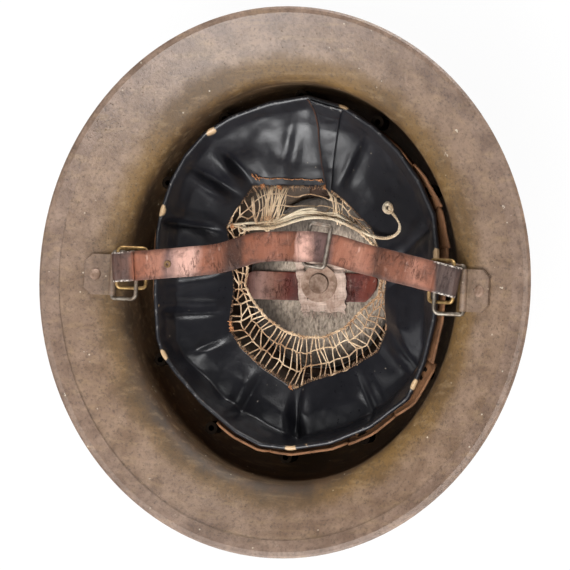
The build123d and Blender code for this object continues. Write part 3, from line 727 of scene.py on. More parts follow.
# %% [markdown]
# A ray from the middle crosses each outline, which gives the cloth's profile at that angle. An ellipse
# below the buffers' tops keeps the cloth and the band inside them.

# %% Profile of the lining


def crossing(outline, angle):
    """Distance from the middle at which a ray crosses an outline, and the outline's height there."""
    way = Vector((cos(angle), sin(angle)))
    for start, end in zip(outline, outline[1:] + outline[:1]):
        first, second = Vector(start[:2]), Vector(end[:2])
        before, after = way.cross(first), way.cross(second)
        if before <= 0 < after and way.dot(first + second) > 0:
            share = before / (before - after)
            height = start[2] + (end[2] - start[2]) * share if len(start) > 2 else 0.0
            return way.dot(first.lerp(second, share)), height


def held_radius(angle):
    """How far out the band may stand below the buffers' tops."""
    x, y = cos(angle) / band_half[0], sin(angle) / band_half[1]
    square, line = x * x + y * y, y * band_middle_y / band_half[1]
    rest = (band_middle_y / band_half[1]) ** 2 - 1
    return (line + sqrt(line * line - square * rest)) / square


@functools.cache
def cloth_profile(angle):
    """Distance out and height of the cloth's corners from the mouth to the turned edge."""
    rim, held = crossing(rim_outline, angle)[0], held_radius(angle)
    valley, ridge = crossing(valley_corners, angle), crossing(ridge_corners, angle)
    crest = rim - roll_width
    valley = (min(valley[0], held - 3.0), valley[1])
    shoulder_out = min(valley[0] + 0.6 * (crest - valley[0]), held - 1.4)
    shoulder = (shoulder_out, valley[1] + 0.5 * (rim_z - valley[1]))
    return [
        (crossing(mouth_outline, angle)[0], mouth_z), ridge, valley, shoulder, (crest, rim_z),
        (crest + roll_width / 2, rim_z + 0.3), (rim - 0.2, rim_z - 0.5), (rim, rim_z - 1.8),
    ]


# %% [markdown]
# Tucks press the cloth down along lines from the mouth towards the rim. Each is sharp along its line and
# swells softly on one side. Noise gives the small creases between them.

# %% Tucks
# Mouth end and rim end of each tuck in plan, its depth, and the side on which the cloth stands up
tucks = [
    ((-34, 55), (-48, 74), 5, 1), ((-38, 47), (-64, 64), 4, 1), ((-48, 28), (-91, 34), 4, -1),
    ((-44, -31), (-64, -42), 4, 1), ((-6, -61), (-2, -86), 4, 1), ((51, -24), (70, -44), 4, -1),
    ((47, -3), (73, 14), 3, 1), ((-42, 9), (-81, 0), 2.5, 1), ((16, 56), (35, 85), 2.5, -1),
    ((48, 12), (80, 36), 2.5, 1), ((-20, 58), (-8, 92), 2, -1), ((-47, -20), (-80, -22), 3, -1),
    ((30, -48), (46, -76), 2.5, 1), ((-24, -53), (-36, -80), 2.5, -1),
]


def tucked(x, y):
    """How far the tucks press the cloth down at a plan point, or lift it beside them."""
    total = 0.0
    for start, end, depth, turn in tucks:
        run, off = Vector(end) - Vector(start), Vector((x, y)) - Vector(start)
        share, side = off.dot(run) / run.length_squared, turn * run.cross(off) / run.length
        along = ease(share / 0.4 + 0.6) * ease((1.35 - share) / 0.6)
        total += depth * along * (0.6 * exp(-(((side - 5) / 3.5) ** 2)) - exp(-abs(side) / 2.2))
    return total


def cloth_point(angle, place):
    """Point of the cloth; place counts panels from the mouth, so 4 is the crest of the rim."""
    profile = cloth_profile(angle)
    panel = min(int(place), len(profile) - 2)
    share = place - panel
    (near, low), (far, high) = profile[panel], profile[panel + 1]
    radius, z = near + (far - near) * share, low + (high - low) * share
    plan = around(radius, angle, z)
    loose = ease(place / 1.2) * ease((4.2 - place) / 1.4)
    # The cloth lies still where the drawstring's end rests on it
    x, y = plan.x / mm, plan.y / mm
    loose *= ease((hypot(x - cord_end[0], y - cord_end[1]) - still_reach) / still_fade)
    lift = (1.2 * wobble(plan, 0.018) + tucked(x, y)) * loose
    lift += 0.3 * wobble(plan, 0.006, 3.0) * (0.3 + 0.7 * loose)
    inward = Vector((-cos(angle), -sin(angle), 0.8)) * lift * mm
    return plan + inward


# %% [markdown]
# The lining is an open tube: one ring of edges is extruded from row to row, and a function places its
# points. Solidify gives it a wall afterwards, so the folds are shaped only once.

# %% Rings and walls


def ring_shape(columns, places, point_at):
    """An open tube: a ring of edges extruded row by row, its points placed by a function."""
    shape = bmesh.new()
    column = shape.verts.layers.int.new("column")
    ring = bmesh.ops.create_circle(shape, segments=columns, radius=1)["verts"]
    for number, vertex in enumerate(sorted(ring, key=lambda v: atan2(v.co.y, v.co.x) % (2 * pi))):
        vertex[column] = number
    edges = shape.edges[:]
    for row, place in enumerate(places):
        if row:
            ring, edges = extruded(shape, edges)
        for vertex in ring:
            vertex.co = point_at(2 * pi * (vertex[column] + 0.5) / columns, place)
    return shape


def add_thickness(piece, thickness, offset=-1.0):
    """Gives the sheet a wall: inwards at -1, outwards at 1, both ways at 0."""
    wall = piece.modifiers.new("wall", "SOLIDIFY")
    wall.thickness, wall.offset, wall.use_even_offset = thickness, offset, False


# %% [markdown]
# Oilcloth is cotton under a hard black coating. It is glossy where it is whole and duller where it is
# scuffed, and along the rim it is worn through to the cotton in spots.

# %% Oilcloth
oilcloth = Finish("oilcloth", Specular_IOR_Level=0.5)
coating = oilcloth.cloud(0.02, detail=6.0, rough=0.6)
scuffed = oilcloth.cloud(0.003, detail=7.0, rough=0.75, seed=3.0)
height = oilcloth.axis("Z")
lip = (height + (scuffed - 0.5) * 0.0016).step(0.0848, 0.0852)
edge_worn = (height + (scuffed - 0.5) * 0.004).step(0.0822, 0.0842)
bare = edge_worn * oilcloth.cloud(0.010, detail=4.0, rough=0.55, seed=12.0).step(0.66, 0.69)
for spot in bare_spots:
    near = oilcloth.distance(tuple(at(*spot, 85))) + (scuffed - 0.5) * 0.006
    bare = bare + near.step(0.0038, 0.0028) * edge_worn
bare = bare.maths("MINIMUM", bare, 1.0)
dusty = oilcloth.cloud(0.03, detail=7.0, rough=0.7, seed=7.0).step(0.4, 0.75)
specks = oilcloth.cells(0.006).step(0.09, 0.05) * oilcloth.cloud(0.02, seed=31.0).step(0.53, 0.62)
colour = oilcloth.layers(
    oilcloth.blend(coating, rgb(13, 13, 17), rgb(30, 30, 35)),
    (dusty * 0.1, rgb(64, 63, 68)), (lip * scuffed.step(0.54, 0.62) * 0.5, rgb(142, 138, 134)),
    (bare, rgb(186, 156, 120)), (specks * 0.7, rgb(150, 140, 126)),
)
oilcloth.set(Base_Color=colour, Roughness=0.27 + scuffed.step(0.35, 0.8) * 0.18 + dusty * 0.05)
oilcloth.bump(scuffed * 0.4 + oilcloth.cells(0.0012, "SMOOTH_F1") * 0.2, 0.0004, 0.4)

# %% [markdown]
# The slopes get many rows and each panel of the turned edge only three. Smoothing takes the hardness off
# the folds, a little more so at the front.

# %% The lining itself
places = [0.0]
for panel, rows in enumerate(rows_per_panel):
    places += [panel + (row + 1) / rows for row in range(rows)]
shape = ring_shape(cloth_columns, places, cloth_point)
# The front of the cloth is softer than the rest
inner_verts = [vertex for vertex in shape.verts if not vertex.is_boundary]
soft_verts = [vertex for vertex in inner_verts if vertex.co.y > -0.02 and vertex.co.z < 0.078]
every_way = dict(use_axis_x=True, use_axis_y=True, use_axis_z=True)
for verts in (inner_verts, inner_verts, soft_verts):
    bmesh.ops.smooth_vert(shape, verts=verts, factor=0.5, **every_way)
lining = make_piece(shape, "oilcloth_lining_cloth", oilcloth, stands_for=["oilcloth_lining"])
add_thickness(lining, 0.9 * mm)

# %% [markdown]
# At the front the cloth's two ends meet over a strip of the same cloth. The strip is a small grid laid
# just above the lining's own surface, and a thin raw edge of brown cotton shows beside it.

# %% Seam
seam_left = [radians(angle) for angle in (81.0, 84.0, 85.5, 87.5)]
seam_right = [radians(angle) for angle in (77.5, 77.0, 76.3, 74.6)]


def along_table(table, share):
    """Value at a share of the way along a table, straight between its entries."""
    place = share * (len(table) - 1)
    index = min(int(place), len(table) - 2)
    return table[index] + (table[index + 1] - table[index]) * (place - index)


def seam_point(across, up, raised):
    angle = along_table(seam_left, up) + (along_table(seam_right, up) - along_table(seam_left, up)) * across
    base = cloth_point(angle, 0.02 + 4.5 * up)
    outward = Vector((cos(angle), sin(angle), 0))
    return base - outward * raised * 0.6 * mm + Vector((0, 0, raised * 0.8 * mm))


def seam_grid(name, across_range, raised, finish, counts):
    low, high = across_range
    shape = bmesh.new()
    add_grid(shape, *counts, lambda u, v: seam_point(
        low + (high - low) * (u + 0.5), v + 0.5, raised + 0.3 * sin(pi * (u + 0.5))
    ))
    piece = make_piece(shape, name, finish)
    add_thickness(piece, 0.7 * mm, 0.0)
    return piece


joining_strip = seam_grid("lining_joining_strip", (0.06, 1.0), 1.5, oilcloth, (16, 80))
raw_edge = old_leather("raw_edge", rgb(116, 74, 48), rgb(76, 46, 30), rgb(30, 20, 16), shine=0.7)
strip_edge = seam_grid("lining_raw_edge", (0.02, 0.05), 1.3, raw_edge, (3, 80))

# %% [markdown]
# The hem at the mouth is held by one line of orange thread. Each stitch is a short curve over the cloth,
# high in the middle and low at both ends, and loose ends lie at both ends of the line.

# %% Stitches
thread = Finish("orange_thread", Roughness=0.7)
twist = thread.cloud(0.0008, detail=3.0)
thread.set(Base_Color=thread.blend(twist.step(0.35, 0.65), rgb(150, 94, 58), rgb(216, 152, 100)))
thread.bump(twist, 0.0002)


def on_cloth(x, y, lift):
    """Point of the panel nearest the mouth that lies over a plan point, lifted a little."""
    angle = atan2(y, x) % (2 * pi)
    near, far = (cloth_profile(angle)[corner][0] for corner in (0, 1))
    point = cloth_point(angle, (hypot(x, y) - near) / (far - near))
    return point + Vector((-x, -y, 60)).normalized() * lift * mm


stitch_y, first_stitch, stitch_pitch = 63, -34, 4.1
stitches = []
for number in range(10):
    line = []
    for step in range(4):
        x, y = first_stitch + stitch_pitch * number + step * 1.2, stitch_y + 0.2 * sin(number * 2 + step)
        line.append(on_cloth(x, y, 0.3 + 0.5 * (0 < step < 3)))
    stitches.append((line, 0.8))
# Loose ends of the thread at both ends of the line
for x in (-35, -33, 5, 7):
    for _ in range(4):
        tip = Vector((x + random.uniform(-1.5, 1.5), stitch_y + random.uniform(-2, 1.8)))
        bend = on_cloth((x + tip.x) / 2, stitch_y + 0.4, 1.2)
        stitches.append(([on_cloth(x, stitch_y, 0.5), bend, on_cloth(*tip, 0.6)], 0.7))

# %% [markdown]
# The tan leather band stands outside the oilcloth. Its top is slit into tongues, which have sprung outward
# at the right and the back. Each tongue is a grid on top of a plain ring, laid over its neighbour's side.

# %% Leather band
band_low, band_high, tongue_low, tongue_high = 55.0, 76.0, 74.0, 84.2
band_columns, band_rows, tongue_rows, sewn_in = 360, 8, 10, 2.4
tongue_turns = [-168, -116, -95, -67, -48, -26, -1, 15, 29, 46, 75, 105, 135, 162, 192]
tongue_flares = [
    (0, 0), (4.2, 3.6), (3.8, 4.6), (5.6, 4.6), (4.4, 7.8), (5.6, 5.2), (8.4, 6.4), (7.8, 5.4), (6.8, 3.6),
    (2.0, 0), (0, 0), (0, 0), (0, 1), (3, 2.4),
]


def band_point(angle, share, flare=0.0, low=band_low, high=band_high):
    z = low + (high - low) * share
    sewn = crossing(rim_outline, angle)[0] - sewn_in
    held = min(sewn, held_radius(angle))
    radius = held + (sewn - held) * ease((z - band_high) / 7) + flare * ease((z - tongue_low + 1) / 11)
    return around(radius, angle, z)


def tongue_point(number, u, v):
    """Point of a tongue; its own turns and flares say where it stands, and its top corners are cut off."""
    start, end, (first, last) = tongue_turns[number], tongue_turns[number + 1], tongue_flares[number]
    across, up = u + 0.5, v + 0.5
    angle = radians(start - 0.6 + (end - start + 0.4) * across) % (2 * pi)
    flare = first + (last - first) * across + 0.35 * wobble((number * 3.0, across * 2, up), 1.0)
    cut_off = 8 * max(0.0, abs(2 * across - 1) - 0.8)
    uneven = 0.5 * wobble((angle * 9, number, 0), 1.0)
    top = tongue_high - 1.8 * (1 - ease(flare / 3)) - cut_off + uneven
    return band_point(angle, up, flare, tongue_low, top)


shape = ring_shape(band_columns, [row / band_rows for row in range(band_rows + 1)], band_point)
for number, (start, end) in enumerate(zip(tongue_turns, tongue_turns[1:])):
    add_grid(shape, max(8, (end - start) // 2), tongue_rows, functools.partial(tongue_point, number))
band = make_piece(shape, "leather_band_leather", band_leather, stands_for=["leather_band"])
add_thickness(band, 1.4 * mm, 1.0)

# %% [markdown]
# Thread, twine and cord are all strands: smooth curves through given or shaken points, turned into one
# mesh for each piece.

# %% Strands


def curve_mesh(name, strands, **settings):
    """One mesh of smooth curves, each a row of points and a thickness."""
    data = bpy.data.curves.new(name, "CURVE")
    data.dimensions, data.use_fill_caps = "3D", True
    for setting, value in settings.items():
        setattr(data, setting, value)
    for points, thick in strands:
        spline = data.splines.new("NURBS")
        spline.points.add(len(points) - 1)
        for knot, point in zip(spline.points, points):
            knot.co, knot.radius = (*point, 1.0), thick
        spline.order_u, spline.use_endpoint_u = min(3, len(points)), True
    holder = add_object(name + "_route", data)
    bpy.context.view_layer.update()
    mesh = bpy.data.meshes.new_from_object(holder.evaluated_get(bpy.context.evaluated_depsgraph_get()))
    bpy.data.objects.remove(holder)
    return mesh


def strand_object(name, strands, radius, finish, stands_for=()):
    mesh = curve_mesh(name, strands, bevel_depth=radius, bevel_resolution=1, resolution_u=3)
    shape = bmesh.new()
    shape.from_mesh(mesh)
    bmesh.ops.remove_doubles(shape, verts=shape.verts[:], dist=1e-6)
    bpy.data.meshes.remove(mesh)
    return make_piece(shape, name, finish, stands_for=stands_for)


# %% [markdown]
# A cord is wound from several strands round its line. The line gets points at even spacing first, so its
# twist stays even too.

# %% Winding a cord


def wind(line, radius, twist, plies=3):
    """Strands wound round a line, each a row of points."""
    rows = [[] for _ in range(plies)]
    along, side = 0.0, Vector((0, 0, 1))
    for index, (point, way) in enumerate(with_ways(line)):
        side = (side - way * side.dot(way)).normalized()
        other = way.cross(side)
        if index:
            along += (point - line[index - 1]).length
        for ply, row in enumerate(rows):
            turn = 2 * pi * (along / twist + ply / plies)
            row.append(point + (side * cos(turn) + other * sin(turn)) * radius)
    return [(row, 1.0) for row in rows]


def resampled(line, spacing):
    """Points at even spacing along a line."""
    result, carried = [line[0]], 0.0
    for start, end in zip(line, line[1:]):
        length = (end - start).length
        travelled = spacing - carried
        while travelled < length:
            result.append(start.lerp(end, travelled / length))
            travelled += spacing
        carried = length - (travelled - spacing)
    result.append(line[-1])
    return result


# %% [markdown]
# One finish of fine fibres serves the net, the cotton ends and the frayed edge: dark between the fibres
# and lighter in clouds.

# %% Twine finish


def twine_finish(name, light, mid, deep, size=0.0011):
    twine = Finish(name, Roughness=0.85, Sheen_Weight=0.3)
    fibre = twine.cloud(size, detail=5.0, rough=0.7)
    stain = twine.cloud(0.012, detail=4.0, seed=4.0)
    twine.set(Base_Color=twine.layers(
        deep, (fibre.step(0.32, 0.68), mid), (stain.step(0.4, 0.65), light),
        ((1 - fibre.step(0.3, 0.45)) * 0.6, deep),
    ))
    twine.bump(fibre, 0.0004, 0.9)
    return twine


# %% [markdown]
# The net is knotted from tan twine: three rows of cells between the oilcloth's mouth and the drawn-in
# hem. It sags a little between the two, and nothing in it is quite in place.

# %% Twine net
net_columns, net_rows = 60, 3
net_z, lying_z = 46.6, 47.2
hem_outline = [
    (46, 8), (42, 22), (30, 33), (14, 40), (0, 42), (-16, 41), (-30, 36), (-43, 30), (-42, 20), (-39, 8),
    (-40, -3), (-35, -12), (-26, -22), (-13, -30), (0, -33), (12, -32), (24, -26), (34, -15), (44, -6),
]


def shaken(*reach):
    return at(*(random.uniform(-value, value) for value in reach))


def net_point(angle, share, z=0.0):
    """Point between the cloth's mouth at 0 and the inner hem at 1."""
    mouth, hem = crossing(mouth_outline, angle)[0] + 0.8, crossing(hem_outline, angle)[0]
    radius = mouth + (hem - mouth) * share
    sag = 0.9 * share + 1.3 * sin(pi * share)
    return around(radius, angle, net_z - sag + z)


twine = twine_finish("twine", rgb(234, 206, 170), rgb(200, 160, 118), rgb(112, 74, 44))

# %% [markdown]
# The knots come first, row by row. One strand then runs round through each row of knots, short ones join
# a knot to the one inside it, and a small tangle makes the knot itself. The inner hem is a twisted rope.

# %% Knots and strands
knots = []
for row in range(net_rows + 1):
    ring = []
    for column in range(net_columns):
        turn = 2 * pi * (column + 0.5 * (row % 2) + random.uniform(-0.36, 0.36)) / net_columns
        angle = (turn - 0.3 * cos(turn)) % (2 * pi)
        reach = (1.1, 1.1, 0.6) if row in (1, 2) else (0.4, 0.4, 0.4)
        ring.append(net_point(angle, row / net_rows) + shaken(*reach))
    knots.append(ring)
strands = []
for row, ring in enumerate(knots[:-1]):
    line = []
    for column in range(net_columns + 1):
        knot, following = ring[column % net_columns], ring[(column + 1) % net_columns]
        line += [knot, knot.lerp(following, 0.5) + shaken(0.6, 0.6, 0.4)]
    strands.append((line[:-1], (1.1, 0.8, 0.8)[row]))
    for column in range(net_columns):
        angle = atan2(ring[column].y, ring[column].x)
        # No strands across the torn front, and none below the first row left of it
        if not (1.35 < angle < 1.85 or 1.85 < angle < 2.3 and row):
            start, end = ring[column], knots[row + 1][column]
            line = [start, start.lerp(end, 0.5) + shaken(0.5, 0.5, 0.4), end]
            strands.append((line, random.uniform(0.7, 0.95)))
            strands.append(([start + shaken(0.9, 0.9, 0.6) for _ in range(4)], 0.75))
hem_line = [net_point(2 * pi * step / 90, 1.0) + shaken(0.25, 0.25, 0.2) for step in range(91)]
strands += wind(resampled(hem_line, 0.0012), 0.55 * mm, 0.006, 2)
for knot in knots[net_rows]:
    strands.append(([knot + shaken(1.3, 1.3, 0.7) for _ in range(5)], 0.7))

# %% [markdown]
# At the front the net is torn: loose ends run from the cloth's edge to the hem and leave a hole beside
# them.

# %% Torn front
# Loose ends across the torn front
for _ in range(34):
    x = random.choice((random.uniform(-38, -15), random.uniform(-38, -12), random.uniform(6, 20)))
    foot = Vector((-27 + (x + 24) * 0.55, 36)) if x < 0 else Vector((x * 1.1 + 3, 39 - x * 0.15))
    foot += Vector((random.uniform(-3, 3), random.uniform(-2, 2)))
    top = 57.5 - max(0.0, x - 9) * 0.8 - max(0.0, -31 - x)
    middle = Vector(((x + foot.x) / 2, (top + foot.y) / 2))
    middle += Vector((random.uniform(-4.5, 4.5), random.uniform(-2.5, 2.5)))
    height = net_z + random.uniform(0, 1.6)
    line = [at(x, top, lying_z), at(middle.x, middle.y, height), at(foot.x, foot.y, lying_z)]
    strands.append((line, random.uniform(0.5, 0.95)))
net = strand_object("twine_net_strands", strands, 0.5 * mm, twine, stands_for=["twine_net"])

# %% [markdown]
# Soft cotton ends lie gathered along the torn front, in one bundle with a few loops round it. They follow
# one route, each over its own part of it and a little beside it.

# %% Bundle
bundle_route = [
    (-51, 33), (-42, 31.5), (-32, 32.5), (-23, 35), (-10, 41), (3, 43), (16, 41.5), (28, 36.5), (39, 31),
]
bundle = []
for number in range(13):
    start = (0, 0, 3, 3, 2)[number % 5]
    end = (4, 8, 5, 6, 7)[number % 5] if start else (3, 4)[number % 2]
    shift = random.uniform(-3.2, 3.2)
    line = []
    for x, y in bundle_route[start:end + 1]:
        spread = shift * (0.35 if x in (-51, -23) or x > 20 else 1.0)
        line += [at(x, y + spread, 46.3 + random.uniform(0, 1.2)) + shaken(1.2, 0.9, 0.2)]
        line += [line[-1] + at(4, 1.0 if x < 3 else -1.0, 0) + shaken(1.5, 1.1, 0.5)]
    bundle.append((line[:-1], random.uniform(0.75, 1.25)))
for middle in ((-24, 35), (-27, 33.5), (-21, 36), (-43, 32)):
    loop = []
    for step in range(9):
        spot = at(middle[0] + 2.4 * cos(step), middle[1] + 3.0 * sin(step), lying_z + 0.5 * cos(2 * step))
        loop.append(spot + shaken(0.8, 0.8, 0.2))
    bundle.append((loop, 1.1))
cord_finish = twine_finish("cord", rgb(232, 216, 188), rgb(216, 192, 160), rgb(158, 128, 92), 0.0007)
strand_object("twine_net_bundle", bundle, 0.6 * mm, cord_finish)

# %% [markdown]
# The cloth's mouth has a frayed edge of brown threads, longest at the front, and tufts of orange thread
# where the net was sewn to it. They are part of the lining's sheet.

# %% Raw edge
hair_count = 520
edge_hairs, tufts = [], []
for step in range(hair_count):
    angle = 2 * pi * (step + random.random()) / hair_count
    front = 60 < degrees(angle) < 125
    base = net_point(angle, 0.0, 0.9)
    turn, reach = random.uniform(-0.03, 0.03), random.uniform(0.04, 0.2 if front else 0.1)
    tip = net_point(angle + turn, reach, random.uniform(0, 0.8))
    line = [base, base.lerp(tip, 0.5) + shaken(0.5, 0.5, 0.4), tip]
    edge_hairs.append((line, random.uniform(0.3, 0.6)))
for x, y in ((-48, -27), (-47, -30), (-8, -64), (-49, 33), (46, 27), (9, 59), (-31, 58), (-20, 58)):
    for _ in range(7):
        base = at(x, y, 47.8)
        tufts.append(([base + shaken(1.8, 1.8, 0.6) for _ in range(4)], random.uniform(0.4, 0.8)))
sewing = strand_object("lining_stitches", stitches + tufts, 0.4 * mm, thread)
hem_twine = twine_finish("hem_twine", rgb(176, 138, 98), rgb(138, 98, 62), rgb(76, 50, 32))
hem_hairs = strand_object("lining_hem_hairs", edge_hairs, 0.42 * mm, hem_twine)

# %% [markdown]
# The felt pad lies on the crossed hangers and keeps the crown off the head. It is a thick lens of matted
# felt with a soft rounded edge, and its top sinks a little in places.

# %% Shape of the felt pad
pad_top, pad_low, pad_seat = 17.5, 9.2, 6.45
pad_half, pad_shift = (46.0, 53.5), 0.7
pad_under, pad_edge = 0.45, 0.6


def pad_point(angle, share):
    """From the middle of the underside, out to the edge and back over the top to its middle."""
    z = pad_top
    if share < pad_under:
        reach = ease(share / pad_under) ** 0.7
        z = pad_seat + (pad_low - pad_seat) * reach ** 2.2
    elif share < pad_edge:
        turn = (share - pad_under) / (pad_edge - pad_under) * pi - pi / 2
        reach = 1 - (1 - cos(turn)) * 0.06
        z = (pad_top + pad_low) / 2 + (pad_top - pad_low) / 2 * sin(turn)
    else:
        reach = 0.94 * (1 - (share - pad_edge) / (1 - pad_edge))
    x, y = cos(angle) * pad_half[0] * reach, sin(angle) * pad_half[1] * reach
    lumps = wobble((x, y, z), 9.0) * 0.3
    return at(x, y + pad_shift * min(z / 12, 1), z - max(lumps, 0) * (share > 0.5))


# %% [markdown]
# Felt has no weave, only fibres that lie every way, so several stretched noises at different turns make
# its surface, with a few pale hairs on top.

# %% Felt
felt = Finish("felt", Roughness=0.95, Sheen_Weight=0.5)
fibres = [
    felt.cloud(0.0012, detail=4.0, vector=felt.stretched((1, 0.45, 1), (0, 0, turn)), seed=turn)
    for turn in (0.3, 1.4, 2.4)
]
matted = sum(fibres) / len(fibres)
dirt = felt.cloud(0.018, detail=5.0, seed=6.0)
# The felt's outer ring is darkened as painted shade, where the lining shades it.
painted_edge_shade = felt.distance((0.008, -0.002, 0.017)).step(0.03, 0.044)
pale_hair = felt.cloud(0.0012, vector=felt.stretched((1, 0.12, 1), (0, 0, 0.9)), seed=11.0).step(0.66, 0.74)
felt.set(Base_Color=felt.layers(
    felt.blend(matted.step(0.36, 0.6), rgb(108, 95, 84), rgb(206, 188, 169)),
    (dirt.step(0.45, 0.7) * 0.55, rgb(92, 78, 66)), (painted_edge_shade * 0.8, rgb(44, 36, 31)),
    (pale_hair * (0.45 - painted_edge_shade * 0.3), rgb(202, 188, 170)),
))
felt.bump(matted + dirt * 0.4, 0.001, 0.9)

shape = ring_shape(120, [row / 40 for row in range(41)], pad_point)
bmesh.ops.remove_doubles(shape, verts=shape.verts[:], dist=1e-6)
pad = make_piece(shape, "felt_pad_felt", felt, stands_for=["felt_pad"])

# %% [markdown]
# Two leather hangers cross under the pad and climb to the band. They hardly show, but through the net and
# from the side they are what carries the lining, so they are swept along the same hollow as their solids.

# %% Hangers
hanger_high, front_shift, hanger_steps = 54.8, 3.5, 24
cradle_depth, cradle_seat, band_z = 78.0, 2.7, 55
cradle_x, cradle_y = 95.2, 109.1


def hanger_stations(half_size, inset, along_y):
    """Stations over the hollow from one side to the other."""
    low = cradle_seat + inset
    side = []
    for step in range(hanger_steps + 1):
        z = low + (hanger_high - low) * (1 - cos(pi / 2 * step / hanger_steps))
        rise = (z - low) / (cradle_depth - inset)
        reach = (half_size - inset) * sqrt(max(0.0, 1 - (1 - rise) ** 2))
        side.append((reach, front_shift * (z - cradle_seat) / (band_z - cradle_seat), z))
    line = [(-reach, shift, z) for reach, shift, z in reversed(side)] + side[1:]
    places = [at(0, reach + shift, z) if along_y else at(reach, shift, z) for reach, shift, z in line]
    across = Vector((1, 0, 0)) if along_y else Vector((0, 1, 0))
    return [(place, across, along.cross(across).normalized()) for place, along in with_ways(places)]


for name, half, inset, along_y in (
    ("hanger_long", cradle_y, 0.8, True), ("hanger_cross", cradle_x, 2.5, False),
):
    shape = swept(hanger_stations(half, inset, along_y), leather_outline(20 * mm, 1.5 * mm, 24))
    make_piece(shape, f"{name}_leather", hanger_leather, stands_for=[name])

# %% [markdown]
# On the pad lie a strip of dark red leather, a frayed piece of cream cloth with a strip torn off it, and
# the crown rivet with its washer. The cloth drapes over the leather's edges, so its height follows them.

# %% Crown leather
crown_left, crown_run, crown_steps = -47.5, 87, 58
crown_stations = []
for step in range(crown_steps + 1):
    x = crown_left + crown_run * step / crown_steps
    curl = 1.6 * ease((abs(x + 4) - 34) / 10)
    rise = 18.55 + curl * (1 if x < 0 else 0.6) + 0.25 * wobble((x, 0, 0), 9.0)
    crown_stations.append((at(x, -2 + 0.6 * sin(x / 30), rise), Vector((0, 1, 0)), Vector((0, 0, 1))))


def crown_end(share):
    """Narrows the strip to a rounded end on the right and a cut point on the left."""
    right_end = sqrt(max(0.02, 1 - max(0.0, (share - 0.91) / 0.09) ** 2))
    left_end = 0.72 + 0.28 * ease(share / 0.06)
    return right_end * left_end, 1.0


shape = swept(crown_stations, leather_outline(17.8 * mm, 1.7 * mm), crown_end)
# The right end is cut off at a slant
for vertex in shape.verts:
    vertex.co.x -= max(0.0, vertex.co.x - 24 * mm) * (7 * mm - vertex.co.y) / (40 * mm)
make_piece(shape, "crown_strap_leather", crown_leather, stands_for=["crown_strap"])

# %% [markdown]
# The cloth on the crown is cream cotton, soiled in clouds. Two wave textures across each other give its
# weave.

# %% Cotton
cotton = Finish("cotton", Roughness=0.9, Sheen_Weight=0.3)
threads_along = {"Vector": cotton.place, "Scale": 330.0, "Distortion": 1.5}
weave_x, weave_y = (
    cotton.node("ShaderNodeTexWave", threads_along, output="Fac", bands_direction=axis) for axis in "XY"
)
weave = weave_x * 0.5 + weave_y * 0.5
soil = cotton.cloud(0.008, detail=6.0, rough=0.65)
cotton.set(Base_Color=cotton.layers(
    rgb(176, 144, 126), (soil.step(0.3, 0.7), rgb(238, 212, 196)), ((1 - weave) * 0.3, rgb(120, 98, 80)),
))
cotton.bump(weave, 0.0003, 0.8)

# %% [markdown]
# A grid gives the cloth, with its edges pushed about by noise until they are ragged. The loose threads at
# its front and back are thin curves of the same colour.

# %% Crown cloth
flat_z, leather_rise, leather_half, leather_y, washer_reach = 17.9, 2.05, 11.5, -2, 9


def cloth_height(x, y):
    """Top of what lies under the cloth, softened at the leather's edges, and creases off the washer."""
    on_leather = ease((leather_half - abs(y - leather_y)) / 3.5)
    creases = 0.6 * abs(wobble((x, y, 0), 4.0)) + 0.5 * abs(wobble((x * 2, y * 0.7, 4), 3.0))
    return flat_z + leather_rise * on_leather + creases * min(1, max(0, (hypot(x, y) - washer_reach) / 3))


def cloth_patch(name, middle, size, turn, ragged, counts, stands_for, seed):
    """A frayed rectangle of cotton lying on the pad and the leather."""
    turned = Matrix.Rotation(turn, 2)

    def patch_point(u, v):
        frayed = ragged * ease((max(abs(u), abs(v)) * 2 - 0.7) / 0.3)
        side = Vector((u * size[0], v * size[1])) + frayed * Vector((
            wobble((u * 9, v * 9, seed), 1.0), wobble((v * 9, u * 9, seed + 5), 1.0)
        ))
        plan = Vector(middle) + turned @ side
        return at(plan.x, plan.y, cloth_height(*plan))

    shape = bmesh.new()
    add_grid(shape, *counts, patch_point)
    patch = make_piece(shape, name, cotton, stands_for=stands_for)
    add_thickness(patch, 0.5 * mm, 1.0)
    threads = []
    for _ in range(int(size[0] * 3)):
        u, end = random.uniform(-0.5, 0.5), random.choice((-0.5, 0.5))
        reach = random.uniform(1.5, 4.5) * (1 if end < 0 else 0.6)
        base = Vector(middle) + turned @ Vector((u * size[0], end * size[1]))
        tip = base + turned @ Vector((random.uniform(-2, 2), copysign(reach, end)))
        bend = base.lerp(tip, 0.5) + Vector((random.uniform(-1, 1), random.uniform(-1, 1)))
        line = [at(spot.x, spot.y, cloth_height(*spot) + 0.4) for spot in (base, bend, tip)]
        threads.append((line, random.uniform(0.6, 1.2)))
    fringe = strand_object(name + "_fringe", threads, 0.14 * mm, cotton)
    return patch, fringe


cloth, cloth_fringe = cloth_patch(
    "crown_cloth_cotton", (4.9, -2.2), (24.5, 31), 0.0, 2.0, (52, 62), ["crown_cloth"], 1.0
)
cloth_patch(
    "crown_cloth_strip_cotton", (-11.0, -2.0), (5.5, 32), radians(9), 0.9, (12, 64),
    ["crown_cloth_strip"], 2.0,
)

# %% [markdown]
# The drawstring runs out of the net's hem, over the mouth of the oilcloth, and ends in a small coiled knot.
# It is a three-ply cotton cord: its route is one smooth curve, and three strands are wound round it.

